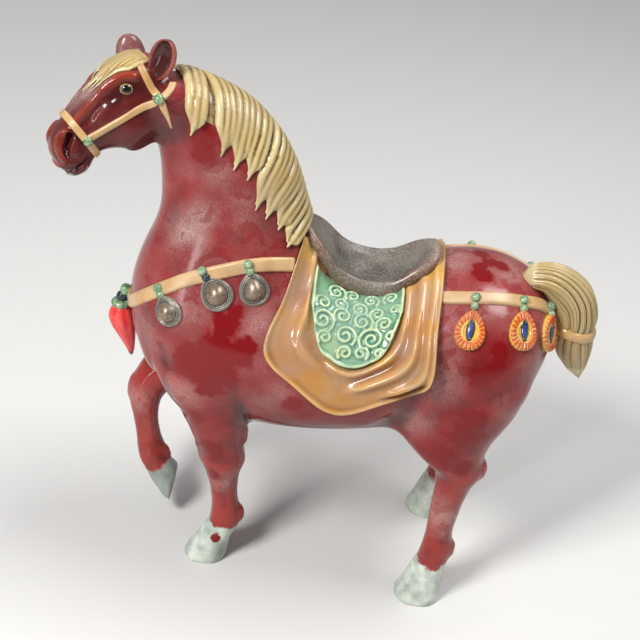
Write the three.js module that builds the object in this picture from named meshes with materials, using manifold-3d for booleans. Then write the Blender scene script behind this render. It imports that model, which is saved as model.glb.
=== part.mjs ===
import * as THREE from 'three';
import { mergeVertices } from 'three/addons/utils/BufferGeometryUtils.js';
import Module from 'manifold-3d';

// A standing horse of glazed ceramic, cast in one piece with its saddle, cloth and harness.
// The horse faces -X, its near (left) side faces -Y and it stands on Z = 0.

// Height over the ear tips in millimetres. The tables below are in units of which it has EAR_TIPS.
const HEIGHT = 330;
const EAR_TIPS = 101.5;
const UNIT = HEIGHT / EAR_TIPS;

const degrees = Math.PI / 180;
const NEAR = -1;
const FAR = 1;

const vec = (x, y, z) => new THREE.Vector3(x, y, z);
const at = (list) => vec(list[0], list[1], list[2]);
const mix = (a, b, t) => a + (b - a) * t;

// Power that keeps the sign, which squares off or pinches a round section.
const bend = (value, power) => Math.sign(value) * Math.abs(value) ** power;

// Value of a table at a place: each row starts with its place, and rows between are mixed.
function tableAt(table, place) {
  let row = 0;
  while (row < table.length - 2 && place > table[row + 1][0]) row += 1;
  const share = THREE.MathUtils.clamp((place - table[row][0]) / (table[row + 1][0] - table[row][0]), 0, 1);
  return table[row].map((value, column) => mix(value, table[row + 1][column], share));
}

// Volume inside a closed geometry, negative when its faces point in.
function signedVolume(geometry) {
  const place = geometry.attributes.position;
  const index = geometry.index;
  const corner = [vec(0, 0, 0), vec(0, 0, 0), vec(0, 0, 0)];
  let sum = 0;
  for (let face = 0; face < index.count; face += 3) {
    corner.forEach((point, k) => point.fromBufferAttribute(place, index.getX(face + k)));
    sum += corner[0].dot(corner[1].clone().cross(corner[2])) / 6;
  }
  return sum;
}

// One closed geometry with shared corners and its faces pointing out.
function closed(geometry) {
  const bare = geometry.clone();
  bare.deleteAttribute('normal');
  bare.deleteAttribute('uv');
  const merged = mergeVertices(bare, 1e-4);
  if (signedVolume(merged) < 0) {
    const order = merged.index.array;
    for (let face = 0; face < order.length; face += 3) {
      [order[face], order[face + 1]] = [order[face + 1], order[face]];
    }
  }
  return merged;
}

// A skin over a row of rings. ringPoint(row, angle) gives a point, and the skin ends in two poles.
function loft(rows, sides, ringPoint, startPole, endPole) {
  const geometry = new THREE.SphereGeometry(1, sides, rows + 1);
  const place = geometry.attributes.position;
  for (let row = 0; row <= rows + 1; row += 1) {
    for (let side = 0; side <= sides; side += 1) {
      const angle = ((side % sides) / sides) * 2 * Math.PI;
      let point = row === 0 ? startPole : endPole;
      if (row > 0 && row <= rows) point = ringPoint(row - 1, angle);
      place.setXYZ(row * (sides + 1) + side, point.x, point.y, point.z);
    }
  }
  return closed(geometry);
}

// A sheet with thickness. point(a, b, outer) gives its places, a and b running from 0 to 1.
function slab(across, down, point) {
  const box = new THREE.BoxGeometry(1, 1, 1, across, down, 1);
  const geometry = closed(box);
  const place = geometry.attributes.position;
  for (let k = 0; k < place.count; k += 1) {
    const spot = point(place.getX(k) + 0.5, place.getY(k) + 0.5, place.getZ(k) > 0);
    place.setXYZ(k, spot.x, spot.y, spot.z);
  }
  return closed(geometry);
}

// Trunk: place along the body, height of the section's middle, half width, rise and drop.
const TRUNK = [
  [-33.3, 52.5, 6.5, 7.5, 8],
  [-30.6, 52, 10.5, 12, 12],
  [-26, 50.5, 14, 16.5, 15.4],
  [-19, 48.5, 16.8, 19, 17],
  [-9, 47, 17.8, 17.5, 16.4],
  [1, 46.5, 18, 14, 15.6],
  [10, 47, 17.6, 13, 14.8],
  [19, 48.5, 17.3, 16.4, 13.8],
  [27, 50, 17.2, 16.2, 14.2],
  [33.3, 51.5, 15.2, 13.6, 14],
  [37.8, 53, 11.5, 9.6, 11],
  [40.4, 54, 6.5, 5, 6],
];
const TRUNK_POWER = 0.92;

// Place on the trunk's skin, around from the near side (0) over the back (90 degrees), and lifted.
function trunkSkin(along, around, lift) {
  const [x, z, wide, rise, drop] = tableAt(TRUNK, along);
  const out = Math.cos(around);
  const up = Math.sin(around);
  const high = up > 0 ? rise : drop;
  const outward = vec(0, -out / wide, up / high).normalize().multiplyScalar(lift);
  return vec(x, -wide * bend(out, TRUNK_POWER), z + high * bend(up, TRUNK_POWER)).add(outward);
}

function trunk() {
  const ringPoint = (row, angle) => trunkSkin(TRUNK[row][0], angle, 0);
  return loft(TRUNK.length, 20, ringPoint, vec(-34.6, 0, 52.5), vec(41.3, 0, 54.5));
}

// Neck: throat side x and z, crest side x and z, half width, sideways lean.
const NECK = [
  [-33.5, 52, 2, 60, 14, 0],
  [-33, 60.5, -3, 68, 11.8, 0],
  [-31, 66, -6, 74.5, 9.6, 0],
  [-30, 71, -8.4, 80.7, 8.2, -0.2],
  [-30, 76, -11.6, 86, 7.2, -0.5],
  [-30.6, 81, -16.2, 90.4, 6.5, -0.9],
  [-32.2, 85.5, -21.5, 93.2, 6, -1.3],
  [-35, 89, -27, 94.8, 5.3, -1.6],
];

function neck() {
  const ringPoint = (row, angle) => {
    const [frontX, frontZ, backX, backZ, wide, lean] = NECK[row];
    const along = (1 - Math.cos(angle)) / 2;
    const side = wide * bend(Math.sin(angle), 0.95);
    return vec(mix(frontX, backX, along), lean + side, mix(frontZ, backZ, along));
  };
  return loft(NECK.length, 14, ringPoint, vec(-16, 0, 50), vec(-34, -1.6, 93.5));
}

// The head has a frame of its own: along the face from the poll, out of the face, to the near cheek.
const HEAD_TURN = 35 * degrees;
const HEAD_PITCH = 40 * degrees;
const HEAD_TILT = 10 * degrees;
const POLL = vec(-36.7, -2, 97.5);
const noseward = vec(
  -Math.cos(HEAD_TURN) * Math.cos(HEAD_PITCH),
  -Math.sin(HEAD_TURN) * Math.cos(HEAD_PITCH),
  -Math.sin(HEAD_PITCH),
);
const level = vec(Math.sin(HEAD_TURN), -Math.cos(HEAD_TURN), 0);
const cheekward = level.clone().applyAxisAngle(noseward, HEAD_TILT);
const faceward = noseward.clone().cross(cheekward);

function headPoint(along, out, side) {
  const point = POLL.clone().addScaledVector(noseward, along);
  return point.addScaledVector(faceward, out).addScaledVector(cheekward, side);
}

// Head: distance along the face, its top and bottom out of the face line, half width.
const HEAD = [
  [-2.6, -2.5, -9, 3.4],
  [0, -0.6, -12.5, 4.8],
  [3.5, 0.2, -14.2, 5.5],
  [7, 0.2, -14.2, 5.3],
  [10, 0, -12.3, 4.5],
  [12.5, -0.3, -9.9, 3.7],
  [14.6, -0.5, -9.2, 3.3],
  [16.6, -0.9, -9.9, 3.4],
  [18.6, -1.6, -9.9, 3.6],
  [20.2, -3, -9, 3.1],
];
const HEAD_POWER = 0.8;

// Place on the head's skin: around is 0 at the near cheek and 90 degrees at the face.
function headSkin(along, around, lift) {
  const [place, top, bottom, wide] = tableAt(HEAD, along);
  const half = (top - bottom) / 2 + lift;
  const middle = (top + bottom) / 2;
  const out = middle + half * bend(Math.sin(around), HEAD_POWER);
  return headPoint(place, out, (wide + lift) * bend(Math.cos(around), HEAD_POWER));
}

function head() {
  const ringPoint = (row, angle) => headSkin(HEAD[row][0], angle, 0);
  return loft(HEAD.length, 14, ringPoint, headPoint(-3.8, -5.5, 0), headPoint(21, -5.8, 0));
}

// Standing legs: centre of each section, its half length fore and aft and its half width.
const NEAR_FORE = [
  [-19.5, -9.6, 44, 9, 7.5],
  [-18.2, -10, 38, 7.8, 6.8],
  [-16.6, -10, 33.5, 6, 5.6],
  [-16, -9.8, 29.5, 4.9, 4.6],
  [-14.9, -9.4, 25.8, 4.2, 4],
  [-14.4, -9.2, 23, 4.1, 3.8],
  [-14.3, -9.2, 19.8, 3.2, 3.1],
  [-13.6, -9.2, 14.5, 2.5, 2.6],
  [-12.9, -9.2, 9.8, 3, 3],
  [-13.5, -9.2, 6.5, 2.8, 2.9],
];
const HIND = [
  [26.5, -7.5, 51, 13, 9],
  [26, -9.8, 43, 11.2, 7.8],
  [25, -11, 37, 8.9, 6.4],
  [26.2, -11.8, 33, 6.3, 5.2],
  [28.2, -12.2, 30.2, 4.6, 4.2],
  [27.8, -12.4, 26.8, 3.4, 3.4],
  [27.3, -12.7, 22, 2.8, 2.8],
  [27, -13, 16, 2.6, 2.6],
  [27.1, -13, 11.8, 3, 3],
  [26.5, -13, 7.5, 2.8, 3],
];
const FAR_HIND_SETBACK = 1.6;
const LEG_SIDES = 10;

// side is -1 for the near side, as the tables are written, and 1 for the far side.
function leg(stations, side, setback) {
  const shift = (x, row) => x + (setback * row) / (stations.length - 1);
  const ringPoint = (row, angle) => {
    const [x, y, z, long, wide] = stations[row];
    return vec(shift(x, row) - long * Math.cos(angle), -(y + wide * Math.sin(angle)) * side, z);
  };
  const first = stations[0];
  const lastRow = stations.length - 1;
  const last = stations[lastRow];
  const start = vec(first[0], -first[1] * side, first[2] + 2);
  const end = vec(shift(last[0], lastRow), -last[1] * side, last[2] - 2);
  return loft(stations.length, LEG_SIDES, ringPoint, start, end);
}

// Raised far foreleg: centre, half length in the side view, half width, tilt of the section.
const RAISED = [
  [-17, 9.5, 42, 8, 7, 20],
  [-22, 9, 37, 6.6, 6, 35],
  [-26.3, 7.8, 32.2, 4.9, 4.6, 45],
  [-29.8, 6.4, 28.4, 4, 3.8, 40],
  [-31.3, 5.2, 25, 3.4, 3.4, 10],
  [-30.9, 4, 20.8, 2.6, 2.7, -5],
  [-30, 3.2, 16.4, 2.4, 2.5, -10],
  [-28.9, 2.5, 12.9, 2.8, 2.8, -25],
  [-27.7, 2, 10.3, 2.4, 2.7, -38],
];

// Point of an oval section tilted in the side view.
function tiltedOval(section, angle, power) {
  const [x, y, z, long, wide, tilt] = section;
  const reach = -long * bend(Math.cos(angle), power);
  const turn = tilt * degrees;
  const across = wide * bend(Math.sin(angle), power);
  return vec(x + reach * Math.cos(turn), y + across, z - reach * Math.sin(turn));
}

function raisedLeg() {
  const ringPoint = (row, angle) => tiltedOval(RAISED[row], angle, 1);
  return loft(RAISED.length, LEG_SIDES, ringPoint, vec(-16, 9.5, 45), vec(-26.8, 2, 8.8));
}

// Hoof: a short cone from the coronet down to a flat sole.
function hoof(coronet, sole) {
  const ringPoint = (row, angle) => tiltedOval(row === 0 ? coronet : sole, angle, 0.9);
  return loft(2, LEG_SIDES, ringPoint, at(coronet), at(sole));
}

const HOOVES = [
  [[-13.7, -9.2, 7.5, 3.1, 3.2, -15], [-16.2, -9.2, 0, 4.1, 4.2, 0]],
  [[26.3, -13, 8.5, 3.1, 3.3, -15], [24.9, -13, 0, 4.5, 4.6, 0]],
  [[27.9, 13, 8.5, 3.1, 3.3, -15], [26.5, 13, 0, 4.4, 4.4, 0]],
  [[-27.6, 1.9, 10.4, 2.8, 3, -50], [-24.4, 1.6, 6.6, 4, 3.8, -80]],
];

// Tail: centre x and z, half thickness, half width, and its direction in degrees below level.
const TAIL = [
  [35.5, 64.8, 2, 2.4, 0],
  [38.5, 65, 2.5, 3.2, 15],
  [41.3, 63.6, 3.3, 3.6, 35],
  [43.6, 61, 3.9, 3.8, 55],
  [44.8, 57.8, 3.8, 3.7, 72],
  [45.1, 55.6, 3.4, 3.4, 82],
  [45.3, 53.8, 3.4, 3.4, 80],
  [46, 50.6, 3, 3, 76],
  [47, 47.4, 1.8, 1.9, 76],
];
const TAIL_SIDES = 12;
const TAIL_GROOVE = 0.87;

function tail() {
  const ringPoint = (row, angle) => {
    const [x, z, thick, wide, dip] = TAIL[row];
    const strand = Math.round((angle / (2 * Math.PI)) * TAIL_SIDES) % 2;
    const size = strand === 0 ? 1 : TAIL_GROOVE;
    const reach = thick * Math.cos(angle) * size;
    const turn = dip * degrees;
    return vec(x + reach * Math.sin(turn), wide * Math.sin(angle) * size, z + reach * Math.cos(turn));
  };
  return loft(TAIL.length, TAIL_SIDES, ringPoint, vec(33.5, 0, 64), vec(48.1, 0, 44.6));
}

function tailBand() {
  const section = [45, 0, 55.5, 4.1, 4, 0];
  const ringPoint = (row, angle) => {
    const point = tiltedOval(section, angle, 1);
    const narrow = row === 0 || row === 3 ? 0.85 : 1;
    const drop = [0.9, 0.6, -0.6, -0.9][row];
    return vec(mix(section[0], point.x, narrow), point.y * narrow, point.z + drop);
  };
  return loft(4, 10, ringPoint, vec(45, 0, 56.4), vec(45, 0, 54.6));
}

// Ear: root and tip in the head's frame, and the way its hollow side faces.
const EARS = [
  { root: [-0.8, -4.6, 3.9], tip: [-6.1, -0.9, 5.8], hollow: vec(-0.45, -0.88, 0.1) },
  { root: [1.2, -5.6, -3.6], tip: [-2.4, -0.1, -5.7], hollow: vec(-0.35, 0.9, 0) },
];
// Share of the ear's length, half width and the rim's height over its hollow.
const EAR_ROWS = [
  [0.05, 1.6, 0.2],
  [0.3, 2.3, 0.7],
  [0.58, 2.5, 0.9],
  [0.82, 1.8, 0.7],
  [0.96, 0.9, 0.3],
];

function ear(shape) {
  const root = headPoint(...shape.root);
  const tip = headPoint(...shape.tip);
  const axis = tip.clone().sub(root).normalize();
  const across = axis.clone().cross(shape.hollow).normalize();
  const front = across.clone().cross(axis).normalize();
  const ringPoint = (row, angle) => {
    const [share, wide, cup] = EAR_ROWS[row];
    const side = Math.cos(angle);
    const back = Math.sin(angle) < 0;
    const behind = 1.1 * Math.sin(angle) * Math.sqrt(wide / 2);
    const inside = 0.55 * Math.sin(angle) - cup * (1 - side * side);
    const depth = back ? behind : inside;
    const point = root.clone().lerp(tip, share);
    return point.addScaledVector(across, wide * side).addScaledVector(front, depth);
  };
  return loft(EAR_ROWS.length, 8, ringPoint, root.clone().lerp(tip, -0.15), tip);
}

// Mane: roots along the crest and tips on the near side of the neck, both as x and z.
const MANE_ROOTS = [
  [-29.5, 95], [-25, 94.6], [-20.5, 93], [-16, 90.2],
  [-12.2, 86.4], [-9, 81.6], [-6.6, 76.2], [-4.6, 71],
];
const MANE_TIPS = [
  [-27, 90], [-24.4, 87.2], [-19.6, 84], [-16.6, 81.4],
  [-14.2, 77.4], [-12.2, 74.4], [-9.6, 71.6], [-7, 68.6],
];
const LOCKS = 15;
const LOCK_STEPS = 4;
const LOCK_RISE = 2.1;
const GROOVE_RISE = 0.9;
const SHORT_OF_TIP = 0.86;

const flatCurve = (list) => new THREE.CatmullRomCurve3(list.map(([x, z]) => vec(x, 0, z)));

// Place on a skin, looking out from an anchor inside it to a target.
function settle(skin, anchor, target) {
  const away = target.clone().sub(anchor).normalize();
  const hits = new THREE.Raycaster(anchor, away).intersectObject(skin);
  const hit = hits[hits.length - 1];
  const out = hit.normal.clone().multiplyScalar(Math.sign(hit.normal.dot(away)));
  return { point: hit.point, out };
}

function mane(skin) {
  const roots = flatCurve(MANE_ROOTS);
  const tips = flatCurve(MANE_TIPS);
  return slab(LOCKS * 2, LOCK_STEPS, (a, b, outer) => {
    const root = roots.getPoint(a);
    const tip = tips.getPoint(a);
    const ridge = Math.round(a * LOCKS * 2) % 2 === 1;
    const fall = (1 - b) * (ridge ? 1 : SHORT_OF_TIP);
    const groove = mix(LOCK_RISE, GROOVE_RISE, Math.min(fall * 3, 1));
    const rise = outer ? (ridge ? LOCK_RISE : groove) * mix(1, 0.35, fall * fall) : -1.2;
    const crest = root.clone().sub(vec(-20, 0, 78)).normalize();
    if (fall < 0.01) return root.clone().add(vec(0, 1.6, 0)).addScaledVector(crest, rise - 0.6);
    const line = root.clone().lerp(tip, fall ** 1.2);
    const inner = line.clone().addScaledVector(crest, -2.2 * (1 - fall));
    const found = settle(skin, inner, inner.clone().add(vec(0, -1, 0.15 * (1 - fall))));
    const lean = crest.clone().multiplyScalar(1 - fall).add(found.out).normalize();
    return found.point.addScaledVector(lean, rise);
  });
}

// Forelock: combed from the poll down the middle of the face.
const FORELOCK_STEPS = 4;
const FORELOCK_STRANDS = 6;

function forelock() {
  return slab(FORELOCK_STRANDS, FORELOCK_STEPS, (a, b, outer) => {
    const down = 1 - b;
    const ridge = Math.round(a * FORELOCK_STRANDS) % 2 === 1;
    const reach = mix(-3.4, ridge ? 9.2 : 7.6, down) - Math.abs(a - 0.5) * 4 * down;
    const spread = mix(3.5, 1.9, down) * (1 - 2 * a) + 0.15;
    const lift = outer ? mix(1, 0.35, down) + (ridge ? 0.3 : 0) : -1;
    const [, top, , wide] = tableAt(HEAD, reach);
    const drop = (wide * 0.42) * (Math.abs(spread) / wide) ** 3;
    return headPoint(reach, top - drop + lift, spread);
  });
}

// A flat band laid on the skin through a list of targets, seen from anchors inside.
function band(skin, targets, anchor, steps, width, rise) {
  const route = new THREE.CatmullRomCurve3(targets.map(at));
  const edge = (step, hand, high) => {
    const target = route.getPoint(step / steps);
    const source = anchor(target);
    const out = target.clone().sub(source).normalize();
    const across = route.getTangent(step / steps).cross(out).normalize();
    const found = settle(skin, source, target.addScaledVector(across, (hand * width) / 2));
    return found.point.addScaledVector(out, high);
  };
  const corners = [[1, rise], [1, -0.8], [-1, -0.8], [-1, rise]];
  const ringPoint = (row, angle) => edge(row, ...corners[Math.round((angle * 2) / Math.PI)]);
  const endPole = (row) => edge(row, 1, -0.2).lerp(edge(row, -1, -0.2), 0.5);
  return loft(steps + 1, 4, ringPoint, endPole(0), endPole(steps));
}

// A strap's places over both sides of the body, lower on the far side by a given drop.
function bothWays(list, drop) {
  const far = list.map(([x, y, z], k) => [x, -y, z - Math.min(k / 2, 1) * drop]);
  return [...far.reverse(), ...list.slice(1)];
}

// Chest strap from the middle of the chest back to the cloth, and the crupper from the tail.
const CHEST_STRAP = [
  [-34.6, 0, 50.4],
  [-33.6, -5, 52],
  [-31.5, -8.8, 55.3],
  [-27.8, -11, 58.8],
  [-22.8, -11.4, 62],
  [-17.8, -11.6, 64.4],
  [-12.5, -10.8, 66],
  [-5, -8.5, 66.4],
];
const CRUPPER = [
  [41, 0, 57.5],
  [40.2, -2, 59],
  [38, -4.2, 61.4],
  [34, -6.8, 63.4],
  [30, -8, 64],
  [25.5, -8.8, 64],
  [19, -8.8, 63.2],
];
const CHEST_DROP = 1;
const CRUPPER_DROP = 6;
const STRAP_WIDTH = 2.5;
const STRAP_RISE = 0.55;
const chestAnchor = () => vec(-16, 0, 53);
const rumpAnchor = (target) => vec(Math.min(target.x, 28), 0, 50);

const bead = (centre, size) => {
  const ball = new THREE.SphereGeometry(size, 6, 3);
  ball.rotateX(Math.PI / 2);
  return closed(ball.translate(centre.x, centre.y, centre.z));
};

// Turns a geometry made about Z so that Z points out of the skin and Y runs up it.
function stand(geometry, point, out) {
  const side = vec(0, 0, 1).cross(out).normalize();
  const up = out.clone().cross(side);
  const turn = new THREE.Matrix4().makeBasis(side, up, out).setPosition(point);
  return closed(geometry.applyMatrix4(turn));
}

// Profile turned about Z: pairs of radius and height, from the axis back to the axis.
function turned(profile, sides) {
  const lathe = new THREE.LatheGeometry(profile.map(([r, z]) => new THREE.Vector2(r, z)), sides);
  return lathe.rotateX(Math.PI / 2);
}

const BELL_PROFILE = [[0, -0.9], [2.8, -0.9], [2.8, 0.6], [1.7, 0.9], [1.2, 2.1], [0, 2.6]];
const PLAIN_BELL = [[0, -0.9], [2.7, -0.9], [2.5, 0.7], [0, 2.4]];
const BELLS = [
  { bell: [-25.8, -13.2, 56.4], beads: [-27.6, -11, 59.2], size: 0.9 },
  { bell: [-18, -13, 61], beads: [-20.6, -11.3, 64], size: 1 },
  { bell: [-11.8, -12, 62.2], beads: [-13.3, -10.8, 66.2], size: 0.95 },
];
const BEAD = 0.85;

function bells(skin, side) {
  const sideOf = ([x, y, z]) => vec(x, -side * y, z);
  return BELLS.flatMap(({ bell, beads, size }) => {
    const seat = settle(skin, chestAnchor(), sideOf(bell));
    const knot = settle(skin, chestAnchor(), sideOf(beads));
    const upper = knot.point.clone().addScaledVector(knot.out, 0.7);
    const lower = upper.clone().lerp(seat.point.clone().addScaledVector(seat.out, 0.7), 0.3);
    const round = side === NEAR ? turned(BELL_PROFILE, 8) : turned(PLAIN_BELL, 6);
    const plain = [stand(round.scale(size, size, size), seat.point, seat.out), bead(upper, BEAD)];
    return side === NEAR ? [...plain, bead(lower, BEAD * 0.85)] : plain;
  });
}

// Pendants: flat drops with a raised rim and a drop-shaped stone, below two beads.
const PENDANTS = [
  { drop: [25.4, -13.2, 60.4], beads: [25.8, -9, 64] },
  { drop: [34.4, -10.9, 60.2], beads: [33.9, -6.9, 63.4] },
  { drop: [39.4, -6.4, 57.6], beads: [39, -3.2, 60.6] },
];

// Drop outline of a given half width: round below and pointed above.
function dropShape(half, tall) {
  const shape = new THREE.Shape();
  shape.moveTo(0, tall);
  shape.quadraticCurveTo(half * 0.55, half * 0.9, half * 0.95, half * 0.15);
  shape.absarc(0, 0, half, 0.1, -Math.PI - 0.1, true);
  shape.quadraticCurveTo(-half * 0.55, half * 0.9, 0, tall);
  return shape;
}

const cut = (shape, depth, curveSegments) => (
  new THREE.ExtrudeGeometry(shape, { depth, bevelEnabled: false, curveSegments })
);

function pendants(skin, side) {
  const sideOf = ([x, y, z]) => vec(x, -side * y, side === FAR ? z - CRUPPER_DROP : z);
  return PENDANTS.flatMap(({ drop, beads }) => {
    const seat = settle(skin, rumpAnchor(sideOf(drop)), sideOf(drop));
    const knot = settle(skin, rumpAnchor(sideOf(beads)), sideOf(beads));
    const plate = cut(dropShape(2.4, 4.4), 2, side === NEAR ? 3 : 2);
    const stone = cut(dropShape(0.9, 2.6), 2.5, 2);
    const upper = knot.point.clone().addScaledVector(knot.out, 0.7);
    const lower = upper.clone().lerp(seat.point.clone().addScaledVector(seat.out, 0.7), 0.25);
    const plain = [stand(plate.translate(0, -0.4, -1.2), seat.point, seat.out), bead(upper, BEAD)];
    const rich = [stand(stone.translate(0, -0.6, -1.2), seat.point, seat.out), bead(lower, BEAD * 0.9)];
    return side === NEAR ? [...plain, ...rich] : plain;
  });
}

// Chest tassel: two beads and a collar over a long pointed drop that stands off the chest.
function tassel() {
  const rows = [[47.8, 36, 1.2], [46, 36.3, 1.9], [43.8, 35.8, 1.8], [41.2, 34.8, 1.3], [38.6, 34, 0.7]];
  const ringPoint = (row, angle) => {
    const [z, x, size] = rows[row];
    return vec(-x + size * Math.cos(angle), size * Math.sin(angle), z);
  };
  const drop = loft(rows.length, 6, ringPoint, vec(-35.6, 0, 48.6), vec(-33.7, 0, 36.8));
  return [drop, bead(vec(-35.3, 0, 51), 1.1), bead(vec(-36, 0, 49.5), 1), bead(vec(-36.1, 0, 48.2), 1.3)];
}

// Saddle: an oval dish with a rolled rim, higher at the pommel and the cantle.
const SADDLE_MIDDLE = 7.2;
const SADDLE_HALF_LENGTH = 11.4;
const SADDLE_RIM = [
  [-4.2, 70.2], [-1.5, 68.4], [2.5, 64.9], [7, 63.6], [11.5, 64.2], [15.5, 66.6], [18.6, 68],
];
const SADDLE_ROWS = [
  { size: 0.86, rise: -5 },
  { size: 1, rise: -2.2 },
  { size: 1.04, rise: -0.9 },
  { size: 0.97, rise: 0.2 },
  { size: 0.84, rise: -0.1 },
  { size: 0.55, rise: -1.3 },
];

function saddle() {
  const halfWidth = (x) => mix(5.6, 6.6, THREE.MathUtils.clamp((x + 4) / 22, 0, 1));
  const ringPoint = (row, angle) => {
    const { size, rise } = SADDLE_ROWS[row];
    const x = SADDLE_MIDDLE + SADDLE_HALF_LENGTH * size * bend(Math.cos(angle), 0.85);
    const y = halfWidth(x) * size * bend(Math.sin(angle), 0.7);
    const [, rim] = tableAt(SADDLE_RIM, x);
    return vec(x, y, rim + rise - 0.035 * y * y);
  };
  return loft(SADDLE_ROWS.length, 16, ringPoint, vec(7.2, 0, 57), vec(7.2, 0, 62.1));
}

// Cloth: inner edge round the flap and outer edge, from the saddle's front down and up behind it.
// Each place is a distance along the trunk and degrees around it from the near side.
const CLOTH_INNER = [
  [-1.6, 76], [-1.7, 52], [-0.7, 36.6], [2.4, 26],
  [6, 22.5],
  [9.6, 26], [12.7, 36.5], [13.7, 52], [13.6, 76],
];
const CLOTH_OUTER = [
  [-4.6, 80], [-6.8, 50], [-8.8, 20], [-3.2, 6.5],
  [4.6, -7],
  [12, -1.5], [19.8, 7.5], [20.1, 42], [20.4, 80],
];
const CLOTH_ACROSS = 14;
const FAR_CLOTH_TOP = 62;
// Height over the trunk from the inner to the outer edge, at the top of the cloth and at its foot.
const SWAG_TOP = [0.7, 1.1, 0.8, 1.1, 0.9, 1.1];
const SWAG_FOOT = [1.2, 3.1, 1.5, 3, 2, 3.2];

const edgeCurve = (list) => (
  new THREE.CatmullRomCurve3(list.map(([along, around]) => vec(along, around, 0)))
);

// As trunkSkin, but over the foot of the neck where that stands out further.
function torsoSkin(torso, along, around, lift) {
  const [x, middle] = tableAt(TRUNK, along);
  const trunkPlace = trunkSkin(along, around, 0);
  const away = trunkSkin(along, around, lift).sub(trunkPlace);
  return settle(torso, vec(x, 0, middle), trunkPlace).point.add(away);
}

function cloth(torso, side) {
  const top = side === NEAR ? 90 : FAR_CLOTH_TOP;
  const inner = edgeCurve(CLOTH_INNER);
  const outer = edgeCurve(CLOTH_OUTER);
  const rows = SWAG_TOP.length - 1;
  return slab(CLOTH_ACROSS, rows, (a, b, upper) => {
    const spot = inner.getPoint(a).lerp(outer.getPoint(a), b);
    const row = Math.round(b * rows);
    const low = THREE.MathUtils.smoothstep(60 - spot.y, 0, 40);
    const rise = mix(SWAG_TOP[row], SWAG_FOOT[row], low);
    const under = row === rows ? mix(-1, rise - 1.3, low) : -1;
    const place = torsoSkin(torso, spot.x, Math.min(spot.y, top) * degrees, upper ? rise : under);
    return vec(place.x, -side * place.y, place.z);
  });
}

// Green flap between saddle and cloth, with a plain rim and rows of spiral scrolls.
const FLAP_HEM = [[0, 56], [0.12, 34], [0.3, 25], [0.5, 22], [0.7, 25], [0.88, 34], [1, 56]];

function flapPlace(a, down) {
  const [, hem] = tableAt(FLAP_HEM, a);
  return { along: mix(-1.9, 13.9, a), around: mix(77, hem, down) * degrees };
}
const flapRise = (down) => mix(1.5, 2.7, Math.min(down * 2, 1));

function flap(torso, side) {
  return slab(6, 3, (a, b, outer) => {
    const { along, around } = flapPlace(a, 1 - b);
    const spot = torsoSkin(torso, along, around, outer ? flapRise(1 - b) : -0.8);
    return vec(spot.x, -side * spot.y, spot.z);
  });
}

// Scrolls: place on the flap, size and whether the spiral opens forward.
const SCROLLS = [
  [0.2, 0.42, 1.7, 1], [0.5, 0.34, 1.7, -1], [0.8, 0.43, 1.7, 1],
  [0.33, 0.58, 1.7, -1], [0.66, 0.6, 1.8, 1],
  [0.2, 0.74, 1.5, 1], [0.5, 0.8, 1.9, -1], [0.8, 0.76, 1.5, -1],
];

const TRUNK_RADIUS = 17;

function scroll(side, [a, down, size, hand]) {
  const turns = 6;
  const places = [];
  for (let step = 0; step <= turns; step += 1) {
    const angle = hand * step * 58 * degrees;
    const radius = size * mix(0.95, 0.3, step / turns);
    const { along, around } = flapPlace(a, down);
    const lift = flapRise(down) + 0.1;
    const higher = around + (radius * Math.sin(angle)) / TRUNK_RADIUS;
    const spot = trunkSkin(along + radius * Math.cos(angle), higher, lift);
    places.push(vec(spot.x, -side * spot.y, spot.z));
  }
  const ringPoint = (row, angle) => {
    const before = places[Math.max(row - 1, 0)];
    const after = places[Math.min(row + 1, turns)];
    const ahead = after.clone().sub(before).normalize();
    const out = vec(0, side, 0.5).normalize();
    const across = ahead.clone().cross(out).normalize();
    const point = places[row].clone().addScaledVector(across, 0.42 * Math.cos(angle + 0.5));
    return point.addScaledVector(out, 0.5 * Math.sin(angle + 0.5));
  };
  return loft(turns + 1, 3, ringPoint, places[0], places[turns]);
}

// Halter straps as targets in the head's frame, for the near side. They cross under the upper bead.
const UPPER_BEAD = [1.2, -7.4, 6];
const LOWER_BEAD = [14.4, -4.7, 4];
const CROWN_TO_NOSE = [[-2.4, -6.3, 4.6], [-0.7, -7.2, 5.4], UPPER_BEAD, [7.8, -6, 5.6], LOWER_BEAD];
const BROW_TO_THROAT = [
  [0.7, -1, 3.2], [0.9, -4.4, 5.2], UPPER_BEAD, [2.4, -10.2, 5.6], [3.4, -13.4, 3.6],
];
const HALTER_WIDTH = 1.25;
const HALTER_RISE = 0.4;

function halter(skin, side) {
  const placed = (list) => (
    list.map(([along, out, across]) => headPoint(along, out, -side * across).toArray())
  );
  const inside = (target) => {
    const reach = target.clone().sub(POLL);
    return headPoint(THREE.MathUtils.clamp(reach.dot(noseward), -1, 18), -6, 0);
  };
  const straps = [CROWN_TO_NOSE, BROW_TO_THROAT].map((route) => (
    band(skin, placed(route), inside, side === NEAR ? 5 : 4, HALTER_WIDTH, HALTER_RISE)
  ));
  const ends = [UPPER_BEAD, LOWER_BEAD].map((spot, k) => {
    const [target] = placed([spot]).map(at);
    const seat = settle(skin, inside(target), target);
    return bead(seat.point.addScaledVector(seat.out, 0.5), k === 0 ? 0.95 : 0.8);
  });
  return [...straps, ...ends];
}

function noseband() {
  const ringPoint = (row, angle) => {
    const along = [13.7, 13.9, 15.1, 15.3][row];
    const lift = row === 0 || row === 3 ? -0.3 : HALTER_RISE;
    return headSkin(along - 0.36 * Math.sin(angle), angle + 0.12, lift);
  };
  return loft(4, 12, ringPoint, headPoint(13.4, -5, 0), headPoint(15.4, -5, 0));
}

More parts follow.
